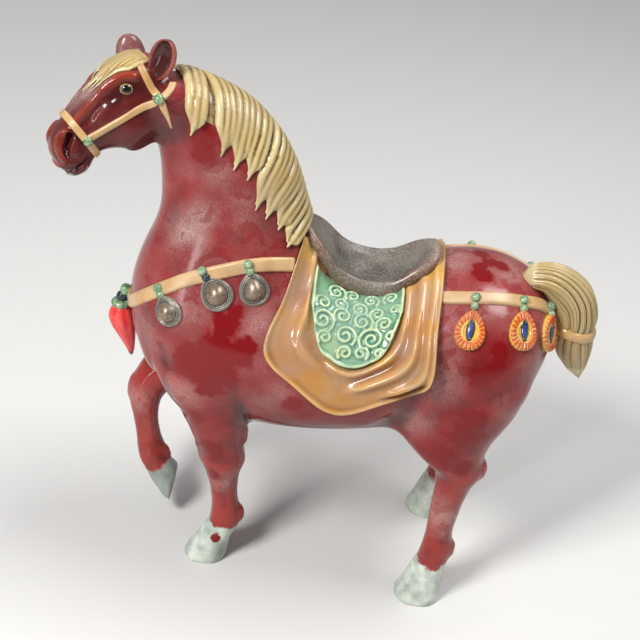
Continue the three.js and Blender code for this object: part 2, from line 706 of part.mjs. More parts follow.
// Face: eyes under brow ridges, raised nostrils and the two lips.
function face(side) {
  const across = (value) => -side * value;
  const eye = bead(headPoint(4.1, -2.6, across(4.9)), 0.95);
  const brow = new THREE.CatmullRomCurve3([
    headPoint(1.9, -1.9, across(4.6)), headPoint(3.6, -0.9, across(4.6)),
    headPoint(6, -0.9, across(4.1)), headPoint(9.5, -1.4, across(3.5)), headPoint(13, -1.7, across(2.8)),
  ]);
  const nostril = new THREE.CatmullRomCurve3([
    headPoint(16.2, -2.6, across(3.4)), headPoint(18, -2.4, across(3.9)), headPoint(19.2, -4, across(3.4)),
  ]);
  const cheekOut = cheekward.clone().multiplyScalar(-side);
  const ridge = (curve, rows, sizes) => {
    const ringPoint = (row, angle) => {
      const ahead = curve.getTangent(row / (rows - 1));
      const up = ahead.clone().cross(cheekOut).normalize();
      const point = curve.getPoint(row / (rows - 1));
      const size = sizes(row / (rows - 1));
      point.addScaledVector(up, size * Math.cos(angle));
      return point.addScaledVector(cheekOut, size * 0.8 * Math.sin(angle));
    };
    return loft(rows, 6, ringPoint, curve.getPoint(0), curve.getPoint(1));
  };
  return [eye, ridge(brow, 4, (t) => mix(0.85, 0.5, t)), ridge(nostril, 3, () => 0.8)];
}

const wasm = await Module();
wasm.setup();

// Edges shorter than this are closed up where pieces join.
const SMALLEST_EDGE = 0.03;

function solid(geometry) {
  const source = closed(geometry);
  const shape = new wasm.Mesh({
    numProp: 3,
    vertProperties: Float32Array.from(source.attributes.position.array),
    triVerts: Uint32Array.from(source.index.array),
    tolerance: SMALLEST_EDGE,
  });
  return new wasm.Manifold(shape);
}

const join = (pieces) => pieces.map(solid).reduce((whole, piece) => whole.add(piece));

function geometryOf(body) {
  const shape = body.getMesh();
  const geometry = new THREE.BufferGeometry();
  geometry.setAttribute('position', new THREE.Float32BufferAttribute(shape.vertProperties, 3));
  geometry.setIndex([...shape.triVerts]);
  geometry.computeVertexNormals();
  return geometry;
}

// The bare animal, whose skin carries the mane and the harness.
const bothSides = new THREE.MeshBasicMaterial({ side: THREE.DoubleSide });
const skinOf = (body) => new THREE.Mesh(geometryOf(body), bothSides);
const torso = skinOf(join([trunk(), neck()]));
const headOnly = skinOf(solid(head()));
const bare = join([
  trunk(),
  neck(),
  head(),
  leg(NEAR_FORE, NEAR, 0),
  leg(HIND, NEAR, 0),
  leg(HIND, FAR, FAR_HIND_SETBACK),
  raisedLeg(),
]);

const dressings = [
  ...HOOVES.map(([coronet, sole]) => hoof(coronet, sole)),
  tail(),
  tailBand(),
  ...EARS.map(ear),
  mane(torso),
  forelock(),
  band(torso, bothWays(CHEST_STRAP, CHEST_DROP), chestAnchor, 12, STRAP_WIDTH, STRAP_RISE),
  band(torso, bothWays(CRUPPER, CRUPPER_DROP), rumpAnchor, 11, STRAP_WIDTH, STRAP_RISE),
  noseband(),
  ...tassel(),
  saddle(),
  ...SCROLLS.map((place) => scroll(NEAR, place)),
  ...[NEAR, FAR].flatMap((side) => [
    cloth(torso, side),
    flap(torso, side),
    ...bells(torso, side),
    ...pendants(torso, side),
    ...halter(headOnly, side),
    ...face(side),
  ]),
];

// The outer skin alone, as the pockets under the flap and the cloth are solid clay.
const [whole] = bare.add(join(dressings)).decompose().sort((a, b) => b.volume() - a.volume());

const glaze = new THREE.MeshStandardMaterial({ color: 0x7d1a1c, roughness: 0.3, metalness: 0 });
const horse = new THREE.Mesh(geometryOf(whole), glaze);
horse.name = 'horse';
horse.scale.setScalar(UNIT);

// The origin lies on the ground under the middle of the horse's outer box.
const outerBox = new THREE.Box3().setFromBufferAttribute(horse.geometry.attributes.position);
const boxMiddle = outerBox.getCenter(vec(0, 0, 0));
horse.position.set(-boxMiddle.x * UNIT, -boxMiddle.y * UNIT, -outerBox.min.z * UNIT);

const statue = new THREE.Group();
statue.add(horse);

export default statue;
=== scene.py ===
import math

import bmesh
import bpy
import numpy as np
from mathutils import Matrix, Vector
from mathutils.bvhtree import BVHTree


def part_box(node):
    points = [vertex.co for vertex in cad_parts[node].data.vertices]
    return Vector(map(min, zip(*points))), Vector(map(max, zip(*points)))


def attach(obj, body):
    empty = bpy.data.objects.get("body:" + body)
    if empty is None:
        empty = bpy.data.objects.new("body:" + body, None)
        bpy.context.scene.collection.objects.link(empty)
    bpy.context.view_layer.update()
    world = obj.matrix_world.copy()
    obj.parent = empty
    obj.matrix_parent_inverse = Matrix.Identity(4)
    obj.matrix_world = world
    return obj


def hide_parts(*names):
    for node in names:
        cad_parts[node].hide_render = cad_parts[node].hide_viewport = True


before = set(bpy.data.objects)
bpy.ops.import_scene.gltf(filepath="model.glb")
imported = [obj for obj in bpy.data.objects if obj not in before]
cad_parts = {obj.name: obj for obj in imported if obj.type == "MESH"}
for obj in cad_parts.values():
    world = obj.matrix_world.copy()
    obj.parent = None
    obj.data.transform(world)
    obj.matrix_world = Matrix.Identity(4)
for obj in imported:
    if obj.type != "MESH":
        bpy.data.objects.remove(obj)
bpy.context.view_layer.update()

# Every table below is in units of which the statue has EAR_TIPS from the ground to its ear tips.
# The horse faces -X, its near (left) side faces -Y and it stands on Z = 0.
EAR_TIPS = 101.51
LOW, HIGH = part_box("horse")
UNIT = (HIGH[2] - LOW[2]) / EAR_TIPS
MIDDLE_X = 0.0443
NEAR, FAR = -1, 1
MM = 0.001 / UNIT


def array(*values):
    return np.array(values, float)


def bend(value, power):
    """Power that keeps the sign: it squares off or pinches a round section."""
    return np.sign(value) * np.abs(value) ** power


def smooth(value):
    value = np.clip(value, 0, 1)
    return value * value * (3 - 2 * value)


def table_at(table, places, key=None):
    """Rows of a table at the given places, on smooth curves through its rows."""
    table = np.asarray(table, float)
    key = table[:, 0] if key is None else np.asarray(key, float)
    places = np.clip(np.asarray(places, float), key[0], key[-1])
    slope = np.gradient(table, key, axis=0)
    row = np.clip(np.searchsorted(key, places, side="right") - 1, 0, len(key) - 2)
    span = (key[row + 1] - key[row])[..., None]
    t = (places - key[row])[..., None] / span
    start, end = table[row], table[row + 1]
    ease = t * t * (3 - 2 * t)
    lean = (t**3 - 2 * t**2 + t) * span * slope[row] + (t**3 - t**2) * span * slope[row + 1]
    return start + (end - start) * ease + lean


def run(points, count):
    """A smooth line of count points through the given ones, evenly spaced along it."""
    points = np.asarray(points, float)
    key = np.concatenate([[0], np.cumsum(np.linalg.norm(np.diff(points, axis=0), axis=1))])
    return table_at(points, np.linspace(0, key[-1], count), key)


# Mesh helpers: a skin is a pair of corner array and face list.


def outward(verts, faces):
    """The skin with its faces pointing out."""
    fan = [(f[0], f[k], f[k + 1]) for f in faces for k in range(1, len(f) - 1)]
    corner = verts[np.array(fan)]
    volume = np.einsum("ij,ij->i", corner[:, 0], np.cross(corner[:, 1], corner[:, 2])).sum()
    if volume < 0:
        faces = [tuple(reversed(f)) for f in faces]
    return verts, faces


def loft(rings, start=None, end=None):
    """Closed skin over rings (rows, sides, 3), with a point over each end."""
    rows, sides, _ = rings.shape
    start = rings[0].mean(0) if start is None else np.asarray(start, float)
    end = rings[-1].mean(0) if end is None else np.asarray(end, float)
    verts = np.vstack([rings.reshape(-1, 3), start, end])
    faces = []
    for row in range(rows - 1):
        for side in range(sides):
            a, b = row * sides + side, row * sides + (side + 1) % sides
            faces.append((a, b, b + sides, a + sides))
    last = (rows - 1) * sides
    for side in range(sides):
        after = (side + 1) % sides
        faces.append((after, side, rows * sides))
        faces.append((last + side, last + after, rows * sides + 1))
    return outward(verts, faces)


def panel(upper, lower):
    """Closed skin between two grids (rows, columns, 3) with the same corners."""
    rows, columns, _ = upper.shape
    count = rows * columns
    verts = np.vstack([upper.reshape(-1, 3), lower.reshape(-1, 3)])
    faces = []
    for row in range(rows - 1):
        for column in range(columns - 1):
            a = row * columns + column
            faces.append((a, a + 1, a + columns + 1, a + columns))
            faces.append((a + count, a + columns + count, a + columns + 1 + count, a + 1 + count))
    rim = list(range(columns - 1)) + [row * columns + columns - 1 for row in range(rows - 1)]
    rim += [count - 1 - k for k in range(columns - 1)] + [row * columns for row in range(rows - 1, 0, -1)]
    for a, b in zip(rim, rim[1:] + rim[:1]):
        faces.append((b, a, a + count, b + count))
    return outward(verts, faces)


def joined(skins):
    """Several skins as one."""
    verts, faces, first = [], [], 0
    for points, cells in skins:
        verts.append(points)
        faces += [tuple(k + first for k in cell) for cell in cells]
        first += len(points)
    return np.vstack(verts), faces


def mesh_of(name, verts, faces):
    mesh = bpy.data.meshes.new(name)
    mesh.from_pydata([tuple(v) for v in verts], [], faces)
    mesh.update()
    return mesh


def skin_of(mesh):
    """Corner array and face list of a Blender mesh."""
    verts = np.empty(len(mesh.vertices) * 3)
    mesh.vertices.foreach_get("co", verts)
    return verts.reshape(-1, 3), [tuple(p.vertices) for p in mesh.polygons]


def melted(skin, voxel):
    """The skin's outer surface, remade in even squares of the given size."""
    thing = bpy.data.objects.new("melt", mesh_of("melt", *skin))
    bpy.context.collection.objects.link(thing)
    change = thing.modifiers.new("melt", "REMESH")
    change.mode = "VOXEL"
    change.voxel_size = voxel
    evaluated = thing.evaluated_get(bpy.context.evaluated_depsgraph_get())
    result = bpy.data.meshes.new_from_object(evaluated)
    bpy.data.objects.remove(thing)
    return skin_of(result)


def edges_of(faces):
    """Each edge once, as pairs of corners."""
    pairs = set()
    for face in faces:
        for a, b in zip(face, face[1:] + face[:1]):
            pairs.add((a, b) if a < b else (b, a))
    return np.array(sorted(pairs))


def spread_mean(values, pairs):
    """Mean of each corner's neighbours."""
    count = len(values)
    a, b = pairs[:, 0], pairs[:, 1]
    number = np.bincount(pairs.ravel(), minlength=count)
    columns = []
    for column in values.T:
        total = np.bincount(a, column[b], count) + np.bincount(b, column[a], count)
        columns.append(total / np.maximum(number, 1))
    return np.stack(columns, 1)


def relaxed(verts, pairs, rounds, weight=1.0, keep_volume=True):
    """Smoother skin. keep_volume pushes back out what each round pulls in."""
    for _ in range(rounds):
        for pull in (0.5, -0.52) if keep_volume else (0.5,):
            verts = verts + pull * weight * (spread_mean(verts, pairs) - verts)
    return verts


def normals_of(verts, faces):
    fan = np.array([(f[0], f[k], f[k + 1]) for f in faces for k in range(1, len(f) - 1)])
    corner = verts[fan]
    across = np.cross(corner[:, 1] - corner[:, 0], corner[:, 2] - corner[:, 0])
    total = np.zeros_like(verts)
    for k in range(3):
        for axis in range(3):
            total[:, axis] += np.bincount(fan[:, k], across[:, axis], len(verts))
    return total / np.maximum(np.linalg.norm(total, axis=1, keepdims=True), 1e-12)


def hollow_of(verts, faces, reach, depth):
    """How far each corner lies in a groove (above 0) or on a ridge (below 0), over some rounds of reach."""
    pairs = edges_of(faces)
    calm = relaxed(verts, pairs, reach, keep_volume=False)
    sunk = np.einsum("ij,ij->i", calm - verts, normals_of(verts, faces)) / depth
    return np.clip(spread_mean(sunk[:, None], pairs)[:, 0], -1, 1)


# Trunk: place along the body, height of the section's middle, half width, rise and drop.
TRUNK = [
    (-33.3, 52.5, 6.5, 7.5, 8),
    (-30.6, 52, 10.5, 12, 12),
    (-26, 50.5, 14, 16.5, 15.4),
    (-19, 48.5, 16.8, 19, 17),
    (-9, 47, 17.8, 17.5, 16.4),
    (1, 46.5, 18, 14, 15.6),
    (10, 47, 17.6, 13, 14.8),
    (19, 48.5, 17.3, 16.4, 13.8),
    (27, 50, 17.2, 16.2, 14.2),
    (33.3, 51.5, 15.2, 13.6, 14),
    (37.8, 53, 11.5, 9.6, 11),
    (40.4, 54, 6.5, 5, 6),
]
TRUNK_POWER = 0.94


def trunk_place(along, around, lift=0.0):
    """Place on the trunk's skin; around is 0 at the near side and a right angle at the back."""
    x, z, wide, rise, drop = np.moveaxis(table_at(TRUNK, along), -1, 0)
    out, up = np.cos(around), np.sin(around)
    high = np.where(up > 0, rise, drop)
    away = np.stack([np.zeros_like(out + x), -out / wide, up / high], -1)
    away /= np.linalg.norm(away, axis=-1, keepdims=True)
    y = -wide * bend(out, TRUNK_POWER)
    skin = np.stack([x + np.zeros_like(y), y, z + high * bend(up, TRUNK_POWER)], -1)
    return skin + away * np.asarray(lift)[..., None], away


def turns(sides):
    return np.arange(sides) / sides * 2 * math.pi


def trunk_skin():
    along = np.linspace(TRUNK[0][0], TRUNK[-1][0], 60)
    rings, _ = trunk_place(along[:, None], turns(56)[None, :])
    return loft(rings, (-34.6, 0, 52.5), (41.3, 0, 54.5))


# Neck: throat side x and z, crest side x and z, half width, sideways lean.
NECK = [
    (-33.5, 52, 2, 60, 14, 0),
    (-33, 60.5, -3, 68, 11.8, 0),
    (-31, 66, -6, 74.5, 9.6, 0),
    (-30, 71, -8.4, 80.7, 8.2, -0.2),
    (-30, 76, -11.6, 86, 7.2, -0.5),
    (-30.6, 81, -16.2, 90.4, 6.5, -0.9),
    (-32.2, 85.5, -21.5, 93.2, 6, -1.3),
    (-35, 89, -27, 94.8, 5.3, -1.6),
]


def neck_skin():
    rows = table_at(NECK, np.linspace(0, 7, 44), range(8))
    front_x, front_z, back_x, back_z, wide, lean = [column[:, None] for column in rows.T]
    angle = turns(40)[None, :]
    share = (1 - np.cos(angle)) / 2
    side = wide * bend(np.sin(angle), 0.95)
    x = front_x + (back_x - front_x) * share
    z = front_z + (back_z - front_z) * share
    return loft(np.stack([x, lean + side, z], -1), (-16, 0, 50), (-34, -1.6, 93.5))


# The head has a frame of its own: along the face from the poll, out of the face, to the near cheek.
HEAD_TURN, HEAD_PITCH, HEAD_TILT = np.radians([35, 40, 10])
POLL = array(-36.7, -2, 97.5)
NOSEWARD = array(
    -math.cos(HEAD_TURN) * math.cos(HEAD_PITCH),
    -math.sin(HEAD_TURN) * math.cos(HEAD_PITCH),
    -math.sin(HEAD_PITCH),
)
LEVEL = array(math.sin(HEAD_TURN), -math.cos(HEAD_TURN), 0)
CHEEKWARD = np.array(Matrix.Rotation(HEAD_TILT, 3, Vector(NOSEWARD)) @ Vector(LEVEL))
FACEWARD = np.cross(NOSEWARD, CHEEKWARD)
HEAD_AXES = np.stack([NOSEWARD, FACEWARD, CHEEKWARD])


def head_place(spots):
    """Places given in the head's frame (along, out, side), in the statue's frame."""
    return POLL + np.asarray(spots, float) @ HEAD_AXES


def in_head(points):
    return (np.asarray(points) - POLL) @ HEAD_AXES.T


# Head: distance along the face, its top and bottom out of the face line, half width.
HEAD = [
    (-2.6, -2.5, -9, 3.4),
    (0, -0.6, -12.5, 4.6),
    (3.5, 0.2, -14.0, 5.2),
    (7, 0.2, -13.9, 4.9),
    (10, 0, -12.2, 4.2),
    (12.5, -0.3, -9.9, 3.6),
    (14.6, -0.5, -9.0, 3.3),
    (16.6, -0.9, -9.7, 3.5),
    (18.6, -1.6, -9.9, 3.6),
    (20.2, -3, -9, 3.1),
]
HEAD_POWER = 0.82


def head_skin():
    places = np.linspace(HEAD[0][0], HEAD[-1][0], 60)
    along, top, bottom, wide = [column[:, None] for column in table_at(HEAD, places).T]
    angle = turns(48)[None, :]
    out = (top + bottom) / 2 + (top - bottom) / 2 * bend(np.sin(angle), HEAD_POWER)
    side = wide * bend(np.cos(angle), HEAD_POWER)
    rings = head_place(np.stack([along + 0 * out, out, side], -1))
    return loft(rings, head_place((-3.8, -5.5, 0)), head_place((21.1, -5.8, 0)))


def ball(centre, radii, axes=np.eye(3), sides=24):
    """An egg-shaped lump with its three radii along the given axes."""
    rise = np.linspace(-0.98, 0.98, 14)[:, None] * math.pi / 2
    angle = turns(sides)[None, :]
    unit = np.stack([np.cos(rise) * np.cos(angle), np.cos(rise) * np.sin(angle), np.sin(rise) + 0 * angle], -1)
    return loft(np.asarray(centre) + (unit * np.asarray(radii)) @ axes)


def head_lumps():
    """Jowls, muzzle and chin in the head's frame."""
    lumps = [((6.6, -8.6, 2.4 * side), (4.9, 4.9, 2.9)) for side in (NEAR, FAR)]
    lumps += [((17.6, -5.8, 1.1 * side), (3.1, 3.6, 2.7)) for side in (NEAR, FAR)]
    lumps.append(((17.9, -8.9, 0), (1.9, 1.3, 2.2)))
    return [ball(head_place(place), radii, HEAD_AXES) for place, radii in lumps]


# Standing legs: centre of each section, its half length fore and aft and its half width.
NEAR_FORE = [
    (-19.5, -9.6, 44, 9, 7.5),
    (-18.2, -10, 38, 7.8, 6.8),
    (-16.6, -10, 33.5, 6, 5.6),
    (-16, -9.8, 29.5, 4.9, 4.6),
    (-14.9, -9.4, 25.8, 4.2, 4),
    (-14.4, -9.2, 23, 4.1, 3.8),
    (-14.3, -9.2, 19.8, 3.2, 3.1),
    (-13.6, -9.2, 14.5, 2.5, 2.6),
    (-12.9, -9.2, 9.8, 3, 3),
    (-13.5, -9.2, 6.5, 2.9, 3),
]
HIND = [
    (26.5, -7.5, 51, 13, 9),
    (26, -9.8, 43, 11.2, 7.8),
    (25, -11, 37, 8.9, 6.4),
    (26.2, -11.8, 33, 6.3, 5.2),
    (28.2, -12.2, 30.2, 4.6, 4.2),
    (27.8, -12.4, 26.8, 3.4, 3.4),
    (27.3, -12.7, 22, 2.8, 2.8),
    (27, -13, 16, 2.6, 2.6),
    (27.1, -13, 11.8, 3, 3),
    (26.5, -13, 7.5, 2.9, 3.1),
]
FAR_HIND_SETBACK = 1.6
# Raised far foreleg: centre, half length in the side view, half width, tilt of the section.
RAISED = [
    (-17, 9.5, 42, 8, 7, 20),
    (-22, 9, 37, 6.6, 6, 35),
    (-26.3, 7.8, 32.2, 4.9, 4.6, 45),
    (-29.8, 6.4, 28.4, 4, 3.8, 40),
    (-31.3, 5.2, 25, 3.4, 3.4, 10),
    (-30.9, 4, 20.8, 2.6, 2.7, -5),
    (-30, 3.2, 16.4, 2.4, 2.5, -10),
    (-28.9, 2.5, 12.9, 2.8, 2.8, -25),
    (-27.7, 2, 10.3, 2.4, 2.7, -38),
]
# Hooves: centre, half length, half width and tilt of the coronet and of the sole.
HOOVES = [
    ((-13.7, -9.2, 7.5, 3.1, 3.2, -15), (-16.2, -9.2, 0, 4.1, 4.2, 0)),
    ((26.3, -13, 8.5, 3.1, 3.3, -15), (24.9, -13, 0, 4.5, 4.6, 0)),
    ((27.9, 13, 8.5, 3.1, 3.3, -15), (26.5, 13, 0, 4.4, 4.4, 0)),
    ((-27.6, 1.9, 10.4, 2.8, 3, -50), (-24.4, 1.6, 6.6, 4, 3.8, -80)),
]


def ovals(sections, sides=32, power=1.0):
    """Rings of ovals: centre, half length, half width and tilt in the side view."""
    x, y, z, long, wide, tilt = [column[:, None] for column in np.asarray(sections, float).T]
    angle = turns(sides)[None, :]
    reach = -long * bend(np.cos(angle), power)
    turn = np.radians(tilt)
    place = (x + reach * np.cos(turn), y + wide * bend(np.sin(angle), power), z - reach * np.sin(turn))
    return np.stack(place, -1)


def leg_skin(stations, side, setback=0.0):
    """A standing leg; side is -1 for the near side, as the tables are written, and 1 for the far side."""
    count = len(stations)
    rows = table_at(stations, np.linspace(0, count - 1, 60), range(count))
    rows = np.hstack([rows, np.zeros((60, 1))])
    rows[:, 0] += setback * np.linspace(0, 1, 60)
    rows[:, 1] *= -side
    return loft(ovals(rows), rows[0, :3] + (0, 0, 2), rows[-1, :3] - (0, 0, 2))


def raised_leg_skin():
    rows = table_at(RAISED, np.linspace(0, 8, 60), range(9))
    return loft(ovals(rows), (-16, 9.5, 45), (-26.8, 2, 8.8))


def hoof_skin(coronet, sole):
    """A hoof that widens to its sole, a little hollow down its front wall."""
    share = np.linspace(0, 1, 14)[:, None]
    rows = np.asarray(coronet) * (1 - share) + np.asarray(sole) * share
    rows[:, 3:5] *= 1 - 0.05 * np.sin(share * math.pi)
    if sole[2] == 0:
        rows = np.vstack([rows, rows[-1] - (0, 0, 0.8, 0, 0, 0)])
    return loft(ovals(rows, power=0.92))


# Places where the clay is blended in broadly: centre and radius.
BLENDS = [
    ((-19, -13, 38), 8),
    ((-21, 10, 38), 8),
    ((17, -13, 40), 8),
    ((17, 13, 40), 8),
    ((34, -11, 44), 8),
    ((34, 11, 44), 8),
    ((-29, 0, 60), 9),
    ((-14, -12, 60), 10),
    ((-14, 12, 60), 10),
    ((0, 0, 66), 8),
    ((-31, 0, 46), 7),
]


def blend_weight(verts, places):
    weight = np.zeros(len(verts))
    for centre, radius in places:
        far = np.linalg.norm(verts - np.asarray(centre), axis=1) / radius
        weight = np.maximum(weight, smooth(1.6 - far))
    return weight[:, None]


# Tool strokes on the clay: line, radius and height along the skin, raised above 0 and sunk below 0.
# The first list is in the head's frame and is made on both cheeks.
BROW = ((1.7, -1.8, 4.4), (2.3, -1.0, 3.8), (3.3, -0.5, 3.4), (4.6, -0.5, 3.2), (5.8, -0.4, 2.9), (6.8, -0.6, 2.7))
FACE_EDGE = ((6.8, -0.6, 2.7), (8.3, -0.7, 2.7), (9.6, -0.8, 2.7), (11.3, -1.0, 2.6), (13, -1.2, 2.6), (14, -1.5, 2.5))
NOSTRIL_RIM = ((15.9, -1.8, 2.2), (16.6, -1.5, 2.0), (17.4, -1.7, 1.9), (18.4, -2.4, 2.2), (19.1, -3.6, 2.9), (19.2, -4.8, 2.9))
NOSTRIL = ((15.9, -2.4, 2.9), (16.7, -2.8, 3), (17.6, -3.4, 3), (18.3, -4.2, 2.9), (18.7, -5, 2.8))
MOUTH = ((21, -6, 0), (20.6, -6.2, 1.6), (20, -7, 2.6), (18.8, -7.2, 3.2), (17.1, -7.3, 3.4), (16.1, -7.4, 3.3))
HEAD_STROKES = [
    (BROW, 1.25, 0.75),
    (FACE_EDGE, 1.0, 0.6),
    (((6.6, -2.0, 3.9), (9.5, -2.0, 3.6), (13, -2.4, 3.2)), 1.2, -0.3),
    (((4.6, 0.3, 1.4), (9, -0.2, 1.2), (13, -0.7, 1)), 1.2, -0.25),
    (((3.4, -3.1, 4.8), (4.6, -2.3, 4.7)), 2.2, -0.5),
    (((8.8, -2.5, 4), (10.2, -3, 3.9)), 1.7, 0.32),
    (((6.2, -4.6, 4.9), (9, -4.6, 4.3), (12, -4.4, 3.5)), 1.5, 0.28),
    (((2.2, -9.6, 4.9), (3.4, -12.4, 4.2), (7, -13.6, 3.6), (10.4, -11.8, 3.4)), 1.3, 0.3),
    (((2.9, -3.3, 4.9), (3.0, -2.2, 4.9), (3.9, -1.5, 4.8), (5.0, -1.6, 4.6)), 0.5, 0.3),
    (((2.9, -3.3, 4.9), (4.0, -3.6, 4.8), (5.0, -2.8, 4.7), (5.1, -1.8, 4.6)), 0.5, 0.22),
    (NOSTRIL_RIM, 0.85, 0.65),
    (NOSTRIL, 0.8, -1.5),
    (((15.8, -3.9, 3.6), (17, -4.8, 3.7)), 1.2, 0.3),
    (MOUTH, 0.55, -0.55),
    (((20.9, -5.3, 0.5), (19.9, -5.9, 2.2), (18.4, -6.2, 3.2)), 0.9, 0.3),
    (((20, -8.2, 0), (19.4, -8.2, 1.6), (17.9, -8.1, 2.9)), 0.9, 0.35),
]
# The second list is in the statue's frame.
BODY_STROKES = [
    (((-11.4, -9.8, 30.5), (-11.3, -9.8, 28.7)), 1.9, 0.8),
    (((-19, -10, 26.5), (-18.4, -9.6, 23.5)), 2.2, 0.4),
    (((-10.2, -9.2, 11.2), (-10.3, -9.2, 9.8)), 1.7, 0.7),
    (((-17.6, -9.3, 9.4), (-17.8, -9.3, 8.4)), 2.0, 0.35),
    (((-13.8, -12.4, 20), (-13.2, -11.9, 13)), 1.0, -0.2),
    (((32.6, -12.2, 31.4), (32.4, -12.3, 29.6)), 2.0, 0.7),
    (((32.6, 12.2, 31.4), (32.9, 12.3, 29.6)), 2.0, 0.7),
    (((30.0, -13, 12.6), (30.0, -13, 11)), 1.7, 0.6),
    (((31.4, 13, 12.6), (31.4, 13, 11)), 1.7, 0.6),
    (((-26.6, 2.4, 13.9), (-26.2, 2.3, 12.9)), 1.6, 0.7),
    (((-34.6, 5.6, 27.4), (-34.9, 5.2, 25)), 2.2, 0.4),
    (((13, -14, 37), (16, -16, 43), (18, -17, 50)), 3.4, -0.55),
    (((13, 14, 37), (16, 16, 43), (18, 17, 50)), 3.4, -0.55),
    (((-26, -13, 48), (-24.6, -13.6, 41), (-22, -13, 36)), 3.0, -0.5),
    (((-13, -15.5, 45), (-11.5, -14.5, 39), (-11.6, -12, 34)), 3.0, -0.55),
    (((-30, -8, 49), (-28.4, -8.4, 42)), 3.0, 0.5),
    (((-33, -6.4, 50), (-31, -6.4, 44), (-27, -4.2, 38)), 1.6, -0.6),
    (((-36.6, -1, 84), (-31.6, -6.2, 84), (-26, -8, 88)), 2.6, -0.4),
    (((-30, -6.5, 66), (-27, -7.4, 76), (-28, -7, 84)), 3.2, -0.3),
    (((30, -16, 45), (36, -12, 48)), 4.0, 0.4),
]


def closeness(verts, line, radius):
    """How near each corner is to a line: 1 on the line, falling to 0 at the radius."""
    line = np.asarray(line, float)
    if len(line) > 1:
        length = np.linalg.norm(np.diff(line, axis=0), axis=1).sum()
        line = run(line, int(length / (0.2 * radius)) + 4)
    close = np.zeros(len(verts))
    near = np.where(np.all((verts > line.min(0) - radius) & (verts < line.max(0) + radius), axis=1))[0]
    if len(near):
        away = np.linalg.norm(verts[near][:, None, :] - line[None, :, :], axis=2).min(1) / radius
        close[near] = np.clip(1 - away**2, 0, 1) ** 2
    return close


def stroke(verts, normals, line, radius, height):
    """Raises or sinks the skin along a line."""
    return verts + normals * (height * closeness(verts, line, radius))[:, None]


def wobble(verts, size, height):
    """Slow uneven rises, as of clay smoothed by hand."""
    x, y, z = (verts / size).T
    wave = np.sin(x * 1.7 + 1.3 * np.sin(z * 1.1)) * np.sin(z * 1.9 + 0.7 + 1.1 * np.sin(y * 1.3))
    wave += 0.6 * np.sin(y * 2.3 + x * 1.1 + 2) * np.sin(z * 1.3 - x * 0.7)
    return wave * height


def refined(skin, places):
    """The skin with the faces near the given places cut in four, and evened out there."""
    verts, faces = skin
    mesh = mesh_of("fine", verts, faces)
    work = bmesh.new()
    work.from_mesh(mesh)
    chosen = []
    for centre, radius in places:
        centre = Vector(centre)
        chosen += [e for e in work.edges if ((e.verts[0].co + e.verts[1].co) / 2 - centre).length < radius]
    bmesh.ops.subdivide_edges(work, edges=list(set(chosen)), cuts=1, use_grid_fill=True)
    bmesh.ops.triangulate(work, faces=[f for f in work.faces if len(f.verts) > 4])
    work.to_mesh(mesh)
    work.free()
    verts, faces = skin_of(mesh)
    weight = blend_weight(verts, [(c, r / 1.6) for c, r in places])
    return relaxed(verts, edges_of(faces), 2, weight), faces


HEAD_MIDDLE = head_place((8.5, -6, 0))
FACE_DETAIL = [(4, -2.6, 4.9), (18, -3.4, 3.3), (19.5, -7, 1.5)]


def body_skin():
    """The bare animal: one skin with blended joints, then the head and the tool strokes."""
    rough = [
        trunk_skin(),
        neck_skin(),
        leg_skin(NEAR_FORE, NEAR),
        leg_skin(HIND, NEAR),
        leg_skin(HIND, FAR, FAR_HIND_SETBACK),
        raised_leg_skin(),
    ]
    rough += [hoof_skin(*pair) for pair in HOOVES]
    verts, faces = melted(joined(rough), 0.8)
    pairs = edges_of(faces)
    verts = relaxed(verts, pairs, 30, blend_weight(verts, BLENDS), keep_volume=False)
    verts = relaxed(verts, pairs, 5)
    voxel = 0.55
    verts, faces = melted(joined([(verts, faces), head_skin(), *head_lumps()]), voxel)
    pairs = edges_of(faces)
    head_blends = [(head_place((0, -9, 0)), 6), (head_place((6.5, -10, 0)), 6), (head_place((16.5, -6, 0)), 5)]
    verts = relaxed(verts, pairs, 8, blend_weight(verts, head_blends), keep_volume=False)
    verts = relaxed(verts, pairs, 4)
    verts, faces = refined((verts, faces), [(HEAD_MIDDLE, 14.5)])
    verts, faces = refined((verts, faces), [(head_place(p), 3.4) for p in mirrored(FACE_DETAIL)])
    verts += normals_of(verts, faces) * wobble(verts, 6.5, 0.1)[:, None]
    for line, radius, height in HEAD_STROKES:
        for side in (NEAR, FAR):
            spots = head_place([(a, out, -side * across) for a, out, across in line])
            verts = stroke(verts, normals_of(verts, faces), spots, radius, height)
    for line, radius, height in BODY_STROKES:
        verts = stroke(verts, normals_of(verts, faces), line, radius, height)
    verts[:, 2] = np.maximum(verts[:, 2], 0)
    return verts, faces


def mirrored(spots):
    """Places in the head's frame on both cheeks."""
    return [*spots, *[(along, out, -side) for along, out, side in spots]]


class Skin:
    """Finds places on a skin by looking at it from inside, or by the shortest way."""

    def __init__(self, skin):
        verts, faces = skin
        self.tree = BVHTree.FromPolygons([tuple(v) for v in verts], faces)

    def seen(self, anchor, target):
        """Where a look from an anchor inside to a target leaves the skin, and the way out there."""
        anchor, target = Vector(anchor), Vector(target)
        point, normal, _, _ = self.tree.ray_cast(anchor, target - anchor)
        if point is None:
            point, normal, _, _ = self.tree.find_nearest(target)
        return np.array(point), np.array(normal)

    def nearest(self, target):
        point, normal, _, _ = self.tree.find_nearest(Vector(target))
        return np.array(point), np.array(normal)


def unit(vectors):
    return vectors / np.maximum(np.linalg.norm(vectors, axis=-1, keepdims=True), 1e-9)


# Geometry node groups that sweep and repeat.


